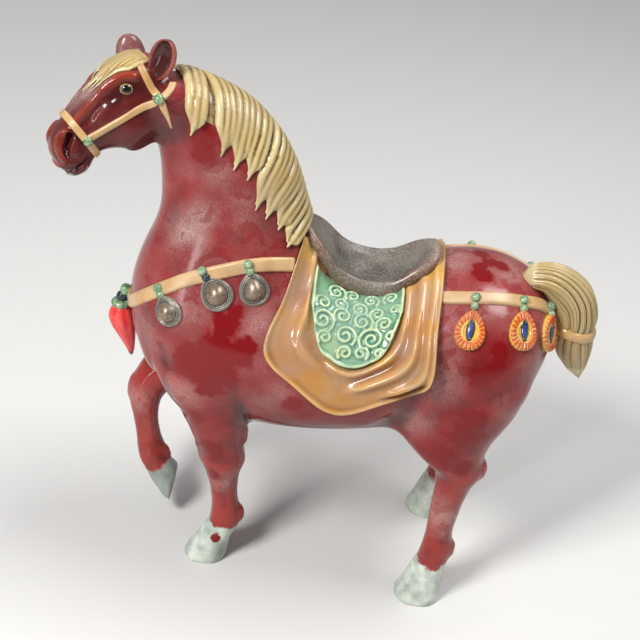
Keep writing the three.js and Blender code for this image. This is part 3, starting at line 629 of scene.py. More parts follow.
def add(tree, kind, inputs=None, stops=(), **settings):
    """One node with its settings; an input is a value or the socket that feeds it. Stops colour a ramp."""
    made = tree.nodes.new(kind)
    for name, value in settings.items():
        setattr(made, name, value)
    for number, (place, code) in enumerate(stops):
        ramp = made.color_ramp.elements
        stop = ramp[number] if number < 2 else ramp.new(place)
        stop.position, stop.color = place, paint(code)
    for name, value in (inputs or {}).items():
        if isinstance(value, bpy.types.NodeSocket):
            tree.links.new(value, made.inputs[name])
        else:
            made.inputs[name].default_value = value
    return made


def node_group(name, sizes):
    """An empty geometry group with a geometry input, a material input and named sizes."""
    tree = bpy.data.node_groups.new(name, "GeometryNodeTree")
    tree.interface.new_socket("Geometry", in_out="INPUT", socket_type="NodeSocketGeometry")
    for size, kind in sizes.items():
        tree.interface.new_socket(size, in_out="INPUT", socket_type=kind)
    tree.interface.new_socket("Glaze", in_out="INPUT", socket_type="NodeSocketMaterial")
    tree.interface.new_socket("Geometry", in_out="OUTPUT", socket_type="NodeSocketGeometry")
    return tree, tree.nodes.new("NodeGroupInput").outputs


def close_group(tree, shape, given):
    """Ends a group: real geometry, smooth faces and the glaze."""
    real = add(tree, "GeometryNodeRealizeInstances", {"Geometry": shape})
    soft = add(tree, "GeometryNodeSetShadeSmooth", {"Geometry": real.outputs["Geometry"]})
    glazed = add(tree, "GeometryNodeSetMaterial", {"Geometry": soft.outputs[0], "Material": given["Glaze"]})
    out = tree.nodes.new("NodeGroupOutput")
    tree.links.new(glazed.outputs["Geometry"], out.inputs["Geometry"])
    return tree


def named(tree, name, kind):
    found = add(tree, "GeometryNodeInputNamedAttribute", {"Name": name}, data_type=kind)
    return found.outputs["Attribute"]


def strand_group():
    """Sweeps a flattened round section along lines; each line point gives its own size and way up."""
    tree, given = node_group("strands", {"Sides": "NodeSocketInt", "Flatness": "NodeSocketFloat"})
    line = add(tree, "GeometryNodeMeshToCurve", {"Mesh": given["Geometry"]})
    up = named(tree, "up", "FLOAT_VECTOR")
    turned = add(tree, "GeometryNodeSetCurveNormal", {"Curve": line.outputs[0], "Normal": up}, mode="FREE")
    ring = add(tree, "GeometryNodeCurvePrimitiveCircle", {"Resolution": given["Sides"], "Radius": 1.0})
    squash = add(tree, "ShaderNodeCombineXYZ", {"X": given["Flatness"], "Y": 1.0, "Z": 1.0})
    oval = add(tree, "GeometryNodeTransform", {"Geometry": ring.outputs[0], "Scale": squash.outputs[0]})
    size = named(tree, "size", "FLOAT")
    swept = add(
        tree,
        "GeometryNodeCurveToMesh",
        {"Curve": turned.outputs[0], "Profile Curve": oval.outputs[0], "Scale": size, "Fill Caps": True},
    )
    return close_group(tree, swept.outputs[0], given)


def strap_group():
    """Sweeps a flat band with rounded edges along lines that lie on the skin."""
    sizes = {"Width": "NodeSocketFloat", "Thickness": "NodeSocketFloat", "Edge": "NodeSocketFloat"}
    tree, given = node_group("straps", sizes)
    line = add(tree, "GeometryNodeMeshToCurve", {"Mesh": given["Geometry"]})
    up = named(tree, "up", "FLOAT_VECTOR")
    turned = add(tree, "GeometryNodeSetCurveNormal", {"Curve": line.outputs[0], "Normal": up}, mode="FREE")
    flat = {"Width": given["Thickness"], "Height": given["Width"]}
    section = add(tree, "GeometryNodeCurvePrimitiveQuadrilateral", flat, mode="RECTANGLE")
    round_off = {"Curve": section.outputs[0], "Count": 4, "Radius": given["Edge"], "Limit Radius": True}
    soft = add(tree, "GeometryNodeFilletCurve", round_off, mode="POLY")
    whole = {"Curve": turned.outputs[0], "Profile Curve": soft.outputs[0], "Fill Caps": True}
    whole["Scale"] = named(tree, "size", "FLOAT")
    swept = add(tree, "GeometryNodeCurveToMesh", whole)
    return close_group(tree, swept.outputs[0], given)


def bead_group():
    """A round bead on each point, at the point's own size."""
    tree, given = node_group("beads", {"Segments": "NodeSocketInt", "Rings": "NodeSocketInt"})
    round_bead = {"Segments": given["Segments"], "Rings": given["Rings"], "Radius": 1.0}
    ball_mesh = add(tree, "GeometryNodeMeshUVSphere", round_bead)
    placed = add(
        tree,
        "GeometryNodeInstanceOnPoints",
        {"Points": given["Geometry"], "Instance": ball_mesh.outputs[0], "Scale": named(tree, "size", "FLOAT")},
    )
    return close_group(tree, placed.outputs[0], given)


def seat_group():
    """A copy of one moulded ornament on each seat, facing out of the skin and hanging straight."""
    tree, given = node_group("ornaments", {"Ornament": "NodeSocketObject"})
    shape = add(tree, "GeometryNodeObjectInfo", {"Object": given["Ornament"]})
    ways = {"Primary Axis": named(tree, "out", "FLOAT_VECTOR"), "Secondary Axis": named(tree, "up", "FLOAT_VECTOR")}
    turn = add(tree, "FunctionNodeAxesToRotation", ways, primary_axis="Z", secondary_axis="Y")
    placed = add(
        tree,
        "GeometryNodeInstanceOnPoints",
        {
            "Points": given["Geometry"],
            "Instance": shape.outputs["Geometry"],
            "Rotation": turn.outputs[0],
            "Scale": named(tree, "size", "FLOAT"),
        },
    )
    return close_group(tree, placed.outputs[0], given)


def grown(name, tree, verts, edges, facts, values, glaze):
    """Runs a node group over points or lines and gives the skin it makes."""
    mesh = bpy.data.meshes.new(name)
    mesh.from_pydata([tuple(v) for v in verts], edges, [])
    for fact, numbers in facts.items():
        numbers = np.asarray(numbers, float)
        kind, key = ("FLOAT", "value") if numbers.ndim == 1 else ("FLOAT_VECTOR", "vector")
        mesh.attributes.new(fact, kind, "POINT").data.foreach_set(key, numbers.ravel())
    thing = bpy.data.objects.new(name, mesh)
    bpy.context.collection.objects.link(thing)
    change = thing.modifiers.new(name, "NODES")
    change.node_group = tree
    sockets = {s.name: s.identifier for s in tree.interface.items_tree if s.in_out == "INPUT"}
    for key, value in {**values, "Glaze": glaze}.items():
        change[sockets[key]] = value
    evaluated = thing.evaluated_get(bpy.context.evaluated_depsgraph_get())
    result = bpy.data.meshes.new_from_object(evaluated)
    bpy.data.objects.remove(thing)
    return result


def lines_mesh(lines):
    """Points, edges and joined facts of several lines, each a dict of point, up and size arrays."""
    verts = np.vstack([line["point"] for line in lines])
    edges, first = [], 0
    for line in lines:
        count = len(line["point"])
        edges += [(first + k, first + k + 1) for k in range(count - 1)]
        first += count
    facts = {"up": np.vstack([line["up"] for line in lines])}
    facts["size"] = np.concatenate([line["size"] for line in lines])
    return verts, edges, facts


# Finishing a piece.


def piece(name, skin, glaze, hollow=None, facts=None):
    """A finished piece of the statue in its own place, riding on the one body."""
    verts, faces = skin if isinstance(skin, tuple) else skin_of(skin)
    verts, faces = outward(verts, faces) if isinstance(skin, tuple) else (verts, faces)
    mesh = mesh_of(name, (verts - (MIDDLE_X, 0, 0)) * UNIT, faces)
    mesh.shade_smooth()
    if hollow:
        facts = {"hollow": hollow_of(verts, faces, *hollow), **(facts or {})}
    for fact, numbers in (facts or {}).items():
        mesh.attributes.new(fact, "FLOAT", "POINT").data.foreach_set("value", np.asarray(numbers, float))
    mesh.materials.append(glaze)
    thing = bpy.data.objects.new(name, mesh)
    bpy.context.collection.objects.link(thing)
    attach(thing, "root")
    return thing


# Cast and carved pieces.


def tail_skin():
    """Tail: long locks side by side, curling over from the dock and gathered by a band."""
    rows = table_at(TAIL, np.linspace(0, len(TAIL) - 1, 110), range(len(TAIL)))
    x, z, thick, wide, dip = [column[:, None] for column in rows.T]
    angle = turns(330)[None, :]
    travel = np.linspace(0, 1, 110)[:, None]
    phase = TAIL_LOCKS * angle / (2 * math.pi) + 0.4 * np.sin(2 * angle + 1) + 0.6 * np.sin(2.6 * travel + angle)
    phase = phase + 0.22 * np.sin(8 * travel + 3 * angle)
    share, fine = np.mod(phase, 1) * 2 - 1, np.mod(3 * phase + 0.3 * np.sin(5 * travel), 1) * 2 - 1
    crown, hairs = np.sqrt(np.clip(1 - share**2, 0, 1)), np.sqrt(np.clip(1 - fine**2, 0, 1))
    size = 1 + smooth(travel * 30) * (TAIL_GROOVE * (crown - 0.72) + 0.05 * (hairs - 0.75))
    reach = thick * np.cos(angle) * size
    turn = np.radians(dip)
    place = (x + reach * np.sin(turn), wide * np.sin(angle) * size, z + reach * np.cos(turn))
    return loft(np.stack(place, -1), (33.5, 0, 64), (48.1, 0, 44.6))


# Tail: centre x and z, half thickness, half width, and its direction in degrees below level.
TAIL = [
    (35.5, 64.8, 2, 2.4, 0),
    (38.5, 65, 2.5, 3.2, 15),
    (41.3, 63.6, 3.3, 3.6, 35),
    (43.6, 61, 3.9, 3.8, 55),
    (44.8, 57.8, 3.8, 3.7, 72),
    (45.1, 55.6, 3.4, 3.4, 82),
    (45.3, 53.8, 3.4, 3.4, 80),
    (46, 50.6, 3, 3, 76),
    (47, 47.4, 1.8, 1.9, 76),
]
TAIL_LOCKS = 11
TAIL_GROOVE = 0.19


def tail_band_skin():
    """The band round the tail, a soft roll with a flat middle."""
    profile = [(0.8, 1.05), (0.95, 0.95), (1.03, 0.6), (1.05, 0), (1.03, -0.6), (0.95, -0.95), (0.8, -1.05)]
    rings = []
    for size, lift in profile:
        ring = ovals([(45, 0, 55.5 + lift, 3.95 * size, 3.9 * size, 0)], 72)[0]
        ring[:, 2] -= 0.16 * (ring[:, 0] - 45)
        rings.append(ring)
    return loft(np.array(rings))


# Ear: root and tip in the head's frame, and the way its hollow side faces.
EARS = [
    ((-0.8, -4.6, 3.9), (-6.1, -0.9, 5.8), (-0.45, -0.88, 0.1)),
    ((1.2, -5.6, -3.6), (-2.4, -0.1, -5.7), (-0.35, 0.9, 0)),
]
# Share of the ear's length, half width and the depth of its hollow below the rim.
EAR_ROWS = [
    (0, 1.2, 0.1),
    (0.12, 1.75, 0.5),
    (0.3, 2.25, 1.0),
    (0.5, 2.45, 1.2),
    (0.68, 2.3, 1.15),
    (0.84, 1.85, 0.9),
    (0.95, 1.15, 0.5),
    (0.995, 0.55, 0.1),
]


def ear_skin(root, tip, facing):
    """A leaf-shaped ear with a thick rolled rim round its hollow, and its shares of rim and hollow."""
    root, tip = head_place(root), head_place(tip)
    axis = unit(tip - root)
    across = unit(np.cross(axis, facing))
    front = np.cross(across, axis)
    share, wide, cup = [c[:, None] for c in table_at(EAR_ROWS, np.linspace(0, 0.995, 34)).T]
    angle = turns(48)[None, :]
    side = np.cos(angle)
    behind = 1.15 * np.sin(angle) * np.sqrt(wide / 2)
    rim = np.clip(1 - ((np.abs(side) - 0.8) / 0.2) ** 2, 0, 1)
    inside = 0.6 * np.abs(np.sin(angle)) ** 0.6 - cup * np.clip(1 - (side / 0.78) ** 4, 0, 1) + 0.12 * rim
    depth = np.where(np.sin(angle) < 0, behind, inside)
    rings = root + (tip - root) * share[..., None]
    rings = rings + across * (wide * side)[..., None] + front * depth[..., None]
    hollow = (np.sin(angle) > 0) * np.clip(1 - (side / 0.78) ** 4, 0, 1) + 0 * share
    lip = (np.sin(angle) > -0.2) * np.clip((np.abs(side) - 0.7) / 0.2, 0, 1) + 0 * share
    ends = [0, 0]
    rim, cup = np.concatenate([lip.ravel(), ends]), np.concatenate([hollow.ravel(), ends])
    return loft(rings, root - 0.15 * (tip - root), tip), rim, cup


# Mane: roots along the crest, as x and z, and the tips of its clumps on the near side of the neck.
MANE_ROOTS = [
    (-29.5, 95), (-25, 94.6), (-20.5, 93), (-16, 90.2), (-12.2, 86.4), (-9, 81.6), (-6.6, 76.2), (-4.6, 71),
]
CLUMP_TIPS = [
    (-24.9, 87.4), (-19.6, 84.4), (-17.3, 82.2), (-14.9, 80.6), (-13.2, 75.4), (-11.3, 73.9), (-8.9, 72), (-7.1, 69),
]
STRANDS_IN_CLUMP = 3
STRAND_STEPS = 26


def strand_path(skin, root_share, tip, hand=0, steps=STRAND_STEPS):
    """A lock of the mane: over the crest, down beside its neighbours, then drawn in to the clump's tip."""
    (x, z), (after_x, after_z) = run_at(MANE_ROOTS, root_share), run_at(MANE_ROOTS, root_share + 0.02)
    down = unit(array(after_x - x, after_z - z))
    root, tip = array(x, z), array(*tip)
    fall = np.linalg.norm(tip - root)
    beside = hand * 1.2 * unit(array(0.34 * fall, -1.6))
    first, second, end = root + down * fall * 0.36, tip + beside + array(1.6, fall * 0.34), tip + beside
    t = np.linspace(0, 1, steps)[:, None]
    flat = (1 - t) ** 3 * root + 3 * (1 - t) ** 2 * t * first + 3 * (1 - t) * t**2 * second + t**3 * end
    flat -= beside * 0.85 * smooth((t - 0.62) / 0.38)
    depth = np.interp(t[:, 0], (0, 0.12, 0.35, 0.62, 1), (2.4, 0.9, -3.2, -7, -7.8))
    targets = np.stack([flat[:, 0], depth, flat[:, 1]], 1)
    found = [skin.nearest(target) for target in targets]
    return np.array([p for p, _ in found]), np.array([n for _, n in found])


def run_at(points, share):
    """Place at a share of the way through a list of points."""
    return table_at(points, np.array([share * (len(points) - 1)]), range(len(points)))[0]


def mane_skin(skin, strands, glaze):
    """The mane: about two dozen tapering locks swept side by side over a bed on the neck."""
    lines = []
    count = STRANDS_IN_CLUMP * len(CLUMP_TIPS)
    for k in range(count):
        clump, hand = k // STRANDS_IN_CLUMP, k % STRANDS_IN_CLUMP - 1
        tip = array(*CLUMP_TIPS[clump]) + array(0.2, 0.6) * abs(hand) - array(0, 0.4) * (hand == 0)
        points, ways = strand_path(skin, (k + 0.35) / count, tip, hand)
        t = np.linspace(0, 1, STRAND_STEPS)
        size = 0.82 * (0.72 + 0.28 * smooth(t * 4)) * (1 - 0.78 * smooth((t - 0.6) / 0.4) ** 1.3)
        lift = 0.3 + 0.45 * size
        lines.append({"point": points + ways * lift[:, None], "up": ways, "size": size})
    mesh = grown("mane", strands, *lines_mesh(lines), {"Sides": 16, "Flatness": 0.95}, glaze)
    columns = np.linspace(0.01, 0.99, 60)
    tips = [run_at(CLUMP_TIPS, share) for share in columns]
    paths = [strand_path(skin, share, tip, steps=40) for share, tip in zip(columns, tips)]
    points = np.array([p[:29] for p, _ in paths])
    ways = np.array([n[:29] for _, n in paths])
    edge = np.clip(np.minimum(np.arange(29), 28 - np.arange(29)) / 4, 0, 1)[None, :, None]
    bed = panel(points + ways * (0.35 * edge - 0.1), points - ways * 1.2)
    return joined([skin_of(mesh), bed])


FORELOCK_STRANDS = 13
FORELOCK_SPREAD = 3.9


def forelock_skin(skin, strands, glaze):
    """Forelock: flat wisps combed from the poll down the middle of the face."""
    lines = []
    for k in range(FORELOCK_STRANDS):
        hand = 2 * k / (FORELOCK_STRANDS - 1) - 1
        reach = 9.4 - 3.8 * abs(hand) ** 1.3 + (0.8 if k % 2 else 0)
        t = np.linspace(0, 1, 18)
        along = -3.6 + (reach + 3.6) * t
        side = hand * (FORELOCK_SPREAD * (1 - t) ** 0.8 + 2.1 * t) + 0.25 * np.sin(5 * t + k)
        targets = head_place(np.stack([along, 0.6 - 0.6 * t - 1.2 * (1 - t) * hand**2, side], 1))
        found = [skin.nearest(target) for target in targets]
        points, ways = np.array([p for p, _ in found]), np.array([n for _, n in found])
        size = 0.5 * (0.7 + 0.3 * smooth(4 * t)) * (1 - 0.8 * smooth((t - 0.4) / 0.6))
        lines.append({"point": points + ways * (0.2 + 0.2 * size)[:, None], "up": ways, "size": size})
    return skin_of(grown("forelock", strands, *lines_mesh(lines), {"Sides": 12, "Flatness": 0.85}, glaze))


# Straps: places of the chest strap and the crupper, from the middle towards the cloth.
CHEST_STRAP = [
    (-34.6, 0, 50.4),
    (-33.6, -5, 52),
    (-31.5, -8.8, 55.3),
    (-27.8, -11, 58.8),
    (-22.8, -11.4, 62),
    (-17.8, -11.6, 64.4),
    (-12.5, -10.8, 66),
    (-5, -8.5, 66.4),
]
CRUPPER = [
    (41, 0, 57.5),
    (40.2, -2, 59),
    (38, -4.2, 61.4),
    (34, -6.8, 63.4),
    (30, -8, 64),
    (25.5, -8.8, 64),
    (19, -8.8, 63.2),
]
STRAP_WIDTH = 2.5
STRAP_RISE = 0.55
CHEST_DROP = 1
CRUPPER_DROP = 6


def both_ways(places, drop):
    """A strap over both sides of the body, lower on the far side by a given drop."""
    far = [(x, -y, z - min(k / 2, 1) * drop) for k, (x, y, z) in enumerate(places)]
    return far[::-1] + places[1:]


def chest_anchor(_):
    return (-16, 0, 53)


def rump_anchor(target):
    return (min(target[0], 28), 0, 50)


def calmed(line, rounds):
    """A line of places with its small kinks evened out."""
    for _ in range(rounds):
        line = np.vstack([line[:1], (line[:-2] + 2 * line[1:-1] + line[2:]) / 4, line[-1:]])
    return line


def laid(skin, places, anchor, steps, lift=0.0, taper=0.0):
    """A line of places on the skin, each seen from an anchor inside or found by the shortest way."""
    targets = run(places, steps)
    found = [skin.seen(anchor(target), target) if anchor else skin.nearest(target) for target in targets]
    points, ways = np.array([p for p, _ in found]), np.array([n for _, n in found])
    for _ in range(3):
        ways[1:-1] = unit(ways[:-2] + ways[1:-1] + ways[2:])
    size = 1 - taper * smooth((np.linspace(0, 1, steps) - 0.6) / 0.4)
    return {"point": calmed(points, 8) + ways * lift, "up": ways, "size": size}


BELLS = [
    ((-25.8, -13.2, 56.4), (-27.6, -11, 59.2), 0.9),
    ((-18, -13, 61), (-20.6, -11.3, 64), 1),
    ((-11.8, -12, 62.2), (-13.3, -10.8, 66.2), 0.95),
]
PENDANTS = [
    ((25.4, -13.2, 60.4), (25.8, -9, 64), 1),
    ((34.4, -10.9, 60.2), (33.9, -6.9, 63.4), 1),
    ((39.4, -6.4, 57.6), (39, -3.2, 60.6), 0.97),
]
BEAD = 0.85


def medal(share, angle, height, half, tall, point, centre):
    """A drop-shaped ornament lying on its seat: round at its centre, pointed at the top of its rim."""
    grow = smooth(share)
    pinch = np.abs(np.sin(angle / 2)) ** (point * grow)
    x = -half * (1 + 0.34 * point * grow) * np.sin(angle) * pinch * share
    y = centre * (1 - grow) + (half + (tall - half) * grow) * np.cos(angle) * share
    rings = np.stack([x, y, height + 0 * angle], -1)
    foot = [rings[-1] * (1, 1, 0) + (0, 0, 0.1), rings[-1] * (0.97, 0.97, 0) - (0, 0, 1)]
    return loft(np.concatenate([rings, foot]), rings[0].mean(0), (0, 0, -1)), rings


def with_foot(values, at_centre, at_foot):
    """A value for each corner of a medal, from those on its rings."""
    sides = values.shape[1]
    return np.concatenate([values.ravel(), np.full(2 * sides, at_foot), [at_centre, at_foot]])


def bell_skin():
    """A pressed bell: fine raised rings round a large dome, and where the dome is."""
    share = np.linspace(0.02, 1, 60)[:, None]
    dome = 0.68 + 1.6 * np.clip(1 - (share / 0.7) ** 2, 0, 1) ** 0.8
    rings = 0.6 + 0.17 * np.abs(np.sin((share - 0.7) * math.pi * 9)) ** 0.8
    height = np.where(share < 0.7, dome, rings) - 0.35 * smooth((share - 0.93) / 0.07)
    angle = turns(96)[None, :]
    skin, _ = medal(share, angle, height, 2.75, 3.15, 0.4, -0.35)
    return skin, {"boss": with_foot(smooth((0.72 - share) / 0.3) + 0 * angle, 1, 0)}


PETALS = 24


def pendant_skin(stone):
    """A painted drop: a ring of petals with a scalloped edge, a raised inner ring and a long stone."""
    angle = turns(192)[None, :]
    share = np.linspace(0.03, 1.0, 44)[:, None]
    petal = np.abs(np.sin(angle * PETALS / 2)) ** 0.5
    band = np.clip(1 - np.abs((share - 0.8) / 0.24) ** 4, 0, 1)
    height = 0.55 + 0.3 * band * petal + 0.2 * np.clip(1 - ((share - 0.5) / 0.09) ** 2, 0, 1)
    height = height - 0.3 * smooth((share - 0.92) / 0.08)
    reach = share * (1 + 0.035 * (petal - 0.6) * smooth((share - 0.7) / 0.3))
    _, rings = medal(reach, angle, height, 2.6, 3.5, 0.5, -0.5)
    outline = np.hypot(rings[..., 0] / 0.72, (rings[..., 1] + 0.15) / 1.8)
    if stone:
        height = height + 0.5 * np.sqrt(np.clip(1 - outline**2, 0, 1))
    skin, _ = medal(reach, angle, height, 2.6, 3.5, 0.5, -0.5)
    inlay = np.clip(1.5 - outline, 0, 1) * stone
    return skin, {"petal": with_foot(petal * band, 0, 0.3), "stone": with_foot(inlay, float(stone), 0)}


def seats(skin, places, anchor, side, drop):
    """Seats of ornaments and their beads on one side of the body, lower by the drop on the far side."""
    found = []
    down = drop if side == FAR else 0
    for place, knot, size in places:
        place, knot = (array(x, -side * y, z - down) for x, y, z in (place, knot))
        point, out = skin.seen(anchor(place), place)
        bead, bead_out = skin.seen(anchor(knot), knot)
        up = unit(bead - point)
        found.append((point, out, up, size, bead + 0.7 * bead_out))
    return found


# Saddle: an oval dish with a rolled rim, higher at the pommel and the cantle.
SADDLE_MIDDLE = 7.2
SADDLE_HALF_LENGTH = 11.4
SADDLE_RIM = [
    (-4.2, 70.2), (-1.5, 68.4), (2.5, 64.9), (7, 63.6), (11.5, 64.2), (15.5, 66.6), (18.6, 68),
]
# Section of the saddle from under its rim to the middle: share of the size and rise from the rim's line.
SADDLE_SECTION = [
    (0.8, -5), (1, -2.6), (1.055, -1.6), (1.075, -0.7), (1.05, 0.1), (0.98, 0.48), (0.9, 0.3),
    (0.82, -0.2), (0.7, -0.75), (0.5, -1.2), (0.25, -1.4),
]


def saddle_skin():
    section = table_at(SADDLE_SECTION, np.linspace(0, 10, 46), range(11))
    size, rise = section[:, :1], section[:, 1:]
    angle = turns(150)[None, :]
    x = SADDLE_MIDDLE + SADDLE_HALF_LENGTH * size * bend(np.cos(angle), 0.85)
    half = 5.6 + np.clip((x + 4) / 22, 0, 1)
    y = half * size * bend(np.sin(angle), 0.7)
    rim = table_at(SADDLE_RIM, x)[..., 1]
    rings = np.stack([x, y, rim + rise - 0.035 * y * y], -1)
    return loft(rings, (7.2, 0, 57), (7.2, 0, 62.2))


# Cloth: inner edge round the flap and outer edge, from the saddle's front down and up behind it.
# Each place is a distance along the trunk and degrees around it from the near side.
CLOTH_INNER = [
    (0, 96), (0.2, 52), (0.7, 38.5), (3.2, 28.5), (6.2, 25), (9.2, 28.5), (11.8, 38.5), (12.8, 52), (13, 108),
]
CLOTH_OUTER = [
    (-4.6, 80), (-6.8, 50), (-8.8, 20), (-3.2, 6.5), (4.6, -7), (12, -1.5), (19.8, 7.5), (20.1, 42), (20.4, 108),
]
FAR_CLOTH_TOP = 74


def trunk_seat(skin, along, around, lift, side):
    """Place over the body at a distance along the trunk, degrees around it and a height."""
    place, away = trunk_place(along, np.radians(around), 0.0)
    middle = table_at(TRUNK, along)[..., 1]
    place, away = place * (1, -side, 1), away * (1, -side, 1)
    flat, heights = place.reshape(-1, 3), np.broadcast_to(middle, place.shape[:-1]).reshape(-1)
    found = [skin.seen((p[0], 0, z), p)[0] for p, z in zip(flat, heights)]
    return np.array(found).reshape(place.shape) + away * np.asarray(lift)[..., None]


def fold(b, middle, half, height):
    """A rounded fold across the cloth."""
    return height * np.exp(-(((b - middle) / half) ** 2))


def cloth_skin(skin, side):
    """The draped cloth: long folds that hang from the saddle and swing round below the flap."""
    columns, rows = 150, 60
    a = np.linspace(0, 1, columns)[:, None]
    b = np.linspace(0, 1, rows)[None, :]
    inner = table_at(CLOTH_INNER, a[:, 0] * 8, range(9))[:, None, :]
    outer = table_at(CLOTH_OUTER, a[:, 0] * 8, range(9))[:, None, :]
    spot = inner + (outer - inner) * b[..., None]
    low = smooth((60 - spot[..., 1]) / 40)
    front = 1 - smooth((a - 0.26) / 0.16)
    height = 0.8 + 0.4 * b + low * (0.25 + 0.75 * b)
    height = height + front * (fold(b, 0.38, 0.1, 0.75) - fold(b, 0.68, 0.15, 0.3))
    for middle, start, half, tall in ((0.2, 0.34, 0.085, 1.35), (0.5, 0.48, 0.1, 1.5), (0.8, 0.6, 0.085, 1.3)):
        height = height + fold(b, middle, half, tall) * smooth((a - start) / 0.13) * (0.45 + 0.55 * low)
    height = height + fold(b, 0.97, 0.06, 0.35 + 0.25 * low)
    pit = np.exp(-(((a - 0.7) / 0.05) ** 2) - ((b - 0.92) / 0.05) ** 2)
    roll = np.exp(-(((a - 0.765) / 0.04) ** 2) - ((b - 0.97) / 0.12) ** 2)
    height = height - 2.2 * pit * low + 1.0 * roll
    rim = smooth((1 - b) / 0.035) * smooth(b / 0.03)
    height = np.maximum(height, 0.5) * (0.55 + 0.45 * rim)
    top = 110 if side == NEAR else FAR_CLOTH_TOP
    around = np.minimum(spot[..., 1], top)
    upper = trunk_seat(skin, spot[..., 0], around, height, side)
    under = np.where(b > 0.93, -1 + low * (height - 0.4) * smooth((b - 0.93) / 0.07), -1.0) + 0 * height
    lower = trunk_seat(skin, spot[..., 0], around, under, side)
    return panel(upper, lower)


# Green flap between saddle and cloth.
FLAP_HEM = [(0, 56), (0.12, 34), (0.3, 25), (0.5, 22), (0.7, 25), (0.88, 34), (1, 56)]
FLAP_FRONT, FLAP_BACK, FLAP_TOP, FAR_FLAP_TOP = -1.9, 13.9, 77, 66
# Scrolls on the flap: distance along the trunk, degrees around it, radius and the hand of the spiral.
SCROLLS = [
    (2.2, 68, 1.6, 1), (5.1, 68, 1.2, -1), (8.3, 66, 1.3, 1), (11.6, 67, 1.2, -1),
    (0.3, 58, 1.3, -1), (3.2, 60, 1.2, 1), (6.4, 59, 1.3, 1), (9.6, 56, 1.2, -1), (12.4, 57, 0.9, 1),
    (0.5, 47.5, 1.8, 1), (3.8, 52.5, 1.5, -1), (7.2, 50.5, 1.7, 1), (10.9, 49, 1.3, -1),
    (4.6, 41, 1.7, 1), (9.1, 40, 2.0, -1), (1.2, 38, 1.2, -1), (12.2, 41, 1.0, 1),
    (4.9, 31, 1.2, -1), (7.6, 31.5, 1.2, 1), (10.6, 31.5, 0.9, 1),
]


def flap_lift(around, hem):
    """Height of the flap over the body: more towards its foot."""
    down = np.clip((FLAP_TOP - around) / (FLAP_TOP - hem), 0, 1)
    return 1.5 + 1.2 * np.clip(down * 2, 0, 1)


def flap_skins(skin, side, strands, glaze):
    a = np.linspace(0, 1, 90)[:, None]
    down = np.linspace(0, 1, 70)[None, :]
    hem = table_at(FLAP_HEM, a[:, 0])[:, 1][:, None]
    along = FLAP_FRONT + (FLAP_BACK - FLAP_FRONT) * a + 0 * down
    top = FLAP_TOP if side == NEAR else FAR_FLAP_TOP
    around = top + (hem - top) * down
    edge = np.minimum(np.minimum(a, 1 - a) * 15.8, (1 - down) * (top - hem) * 0.297)
    rim = 0.4 * np.clip(1 - ((edge - 0.4) / 0.4) ** 2, 0, 1) - 0.5 * np.clip(1 - edge / 0.25, 0, 1)
    lift = 1.15 + 1.2 * np.clip(down * 2, 0, 1) + rim - (0.7 if side == FAR else 0)
    upper = trunk_seat(skin, along, around, lift, side)
    lower = trunk_seat(skin, along, around, -0.8 + 0 * lift, side)
    lines = []
    for x, degrees_up, radius, hand in SCROLLS:
        if side == FAR and degrees_up > 60:
            continue
        t = np.linspace(0, 1, 40)
        turn = hand * (t * (1.1 + 0.32 * radius) * 2 * math.pi - 0.9) + (0 if hand > 0 else math.pi)
        size = radius * (1.15 - 0.95 * t**0.85)
        x_line = np.clip(x + size * np.cos(turn), FLAP_FRONT + 0.7, FLAP_BACK - 0.7)
        up_line = degrees_up + size * np.sin(turn) / 0.297
        share = (x_line - FLAP_FRONT) / (FLAP_BACK - FLAP_FRONT)
        hem_line = table_at(FLAP_HEM, share)[:, 1]
        up_line = np.maximum(up_line, hem_line + 2.6)
        rise = flap_lift(up_line, hem_line) - (0.92 if side == FAR else 0.22)
        seat = trunk_seat(skin, x_line, up_line, rise, side)
        away = trunk_place(x_line, np.radians(up_line))[1] * (1, -side, 1)
        lines.append({"point": seat, "up": away, "size": 0.29 * (1 - 0.2 * t) + 0 * x_line})
    scrolls = grown("scrolls", strands, *lines_mesh(lines), {"Sides": 8, "Flatness": 1.15}, glaze)
    return panel(upper, lower), skin_of(scrolls)


# Halter straps on the near cheek, in the head's frame. They cross under the upper bead.
UPPER_BEAD = (1.3, -7.1, 6.2)
LOWER_BEAD = (14.4, -4.8, 3.4)
CROWN_TO_NOSE = [
    (-2.2, -6.8, 5.2), (-1.3, -7.1, 5.9), (0, -7.1, 6.4), UPPER_BEAD, (2.3, -7, 5.9), (4.6, -6.3, 5.1),
    (8.3, -5.6, 4.6), (11.3, -5.1, 3.9), LOWER_BEAD,
]
BROW_TO_THROAT = [
    (-0.4, -1.3, 2.6), (0.2, -2.6, 3.8), (0.9, -4.7, 4.6), UPPER_BEAD, (1.9, -8.4, 6.9), (2.4, -10.2, 7.1),
    (3.1, -11.8, 6.9),
]
HALTER_WIDTH = 1.25
HALTER_RISE = 0.4
NOSEBAND_ALONG = 14.5
NOSEBAND_SLANT = 0.36


def cheek(places, side):
    return head_place([(along, out, -side * across) for along, out, across in places])


def noseband_line(skin):
    """The noseband all the way round the muzzle."""
    angle = np.linspace(0, 2 * math.pi, 64)
    along = NOSEBAND_ALONG - NOSEBAND_SLANT * np.sin(angle)
    _, top, bottom, wide = table_at(HEAD, along).T
    out = (top + bottom) / 2 + ((top - bottom) / 2 + 0.8) * bend(np.sin(angle), HEAD_POWER)
    side = (wide + 0.8) * bend(np.cos(angle), HEAD_POWER)
    middles = head_place(np.stack([along, (top + bottom) / 2, 0 * side], 1))
    targets = head_place(np.stack([along, out, side], 1))
    found = [skin.seen(middle, target) for middle, target in zip(middles, targets)]
    points, ways = np.array([p for p, _ in found]), np.array([n for _, n in found])
    up = unit(targets - middles) * 0.7 + 0.3 * ways
    return {"point": calmed(points, 2), "up": up, "size": np.ones(len(points))}


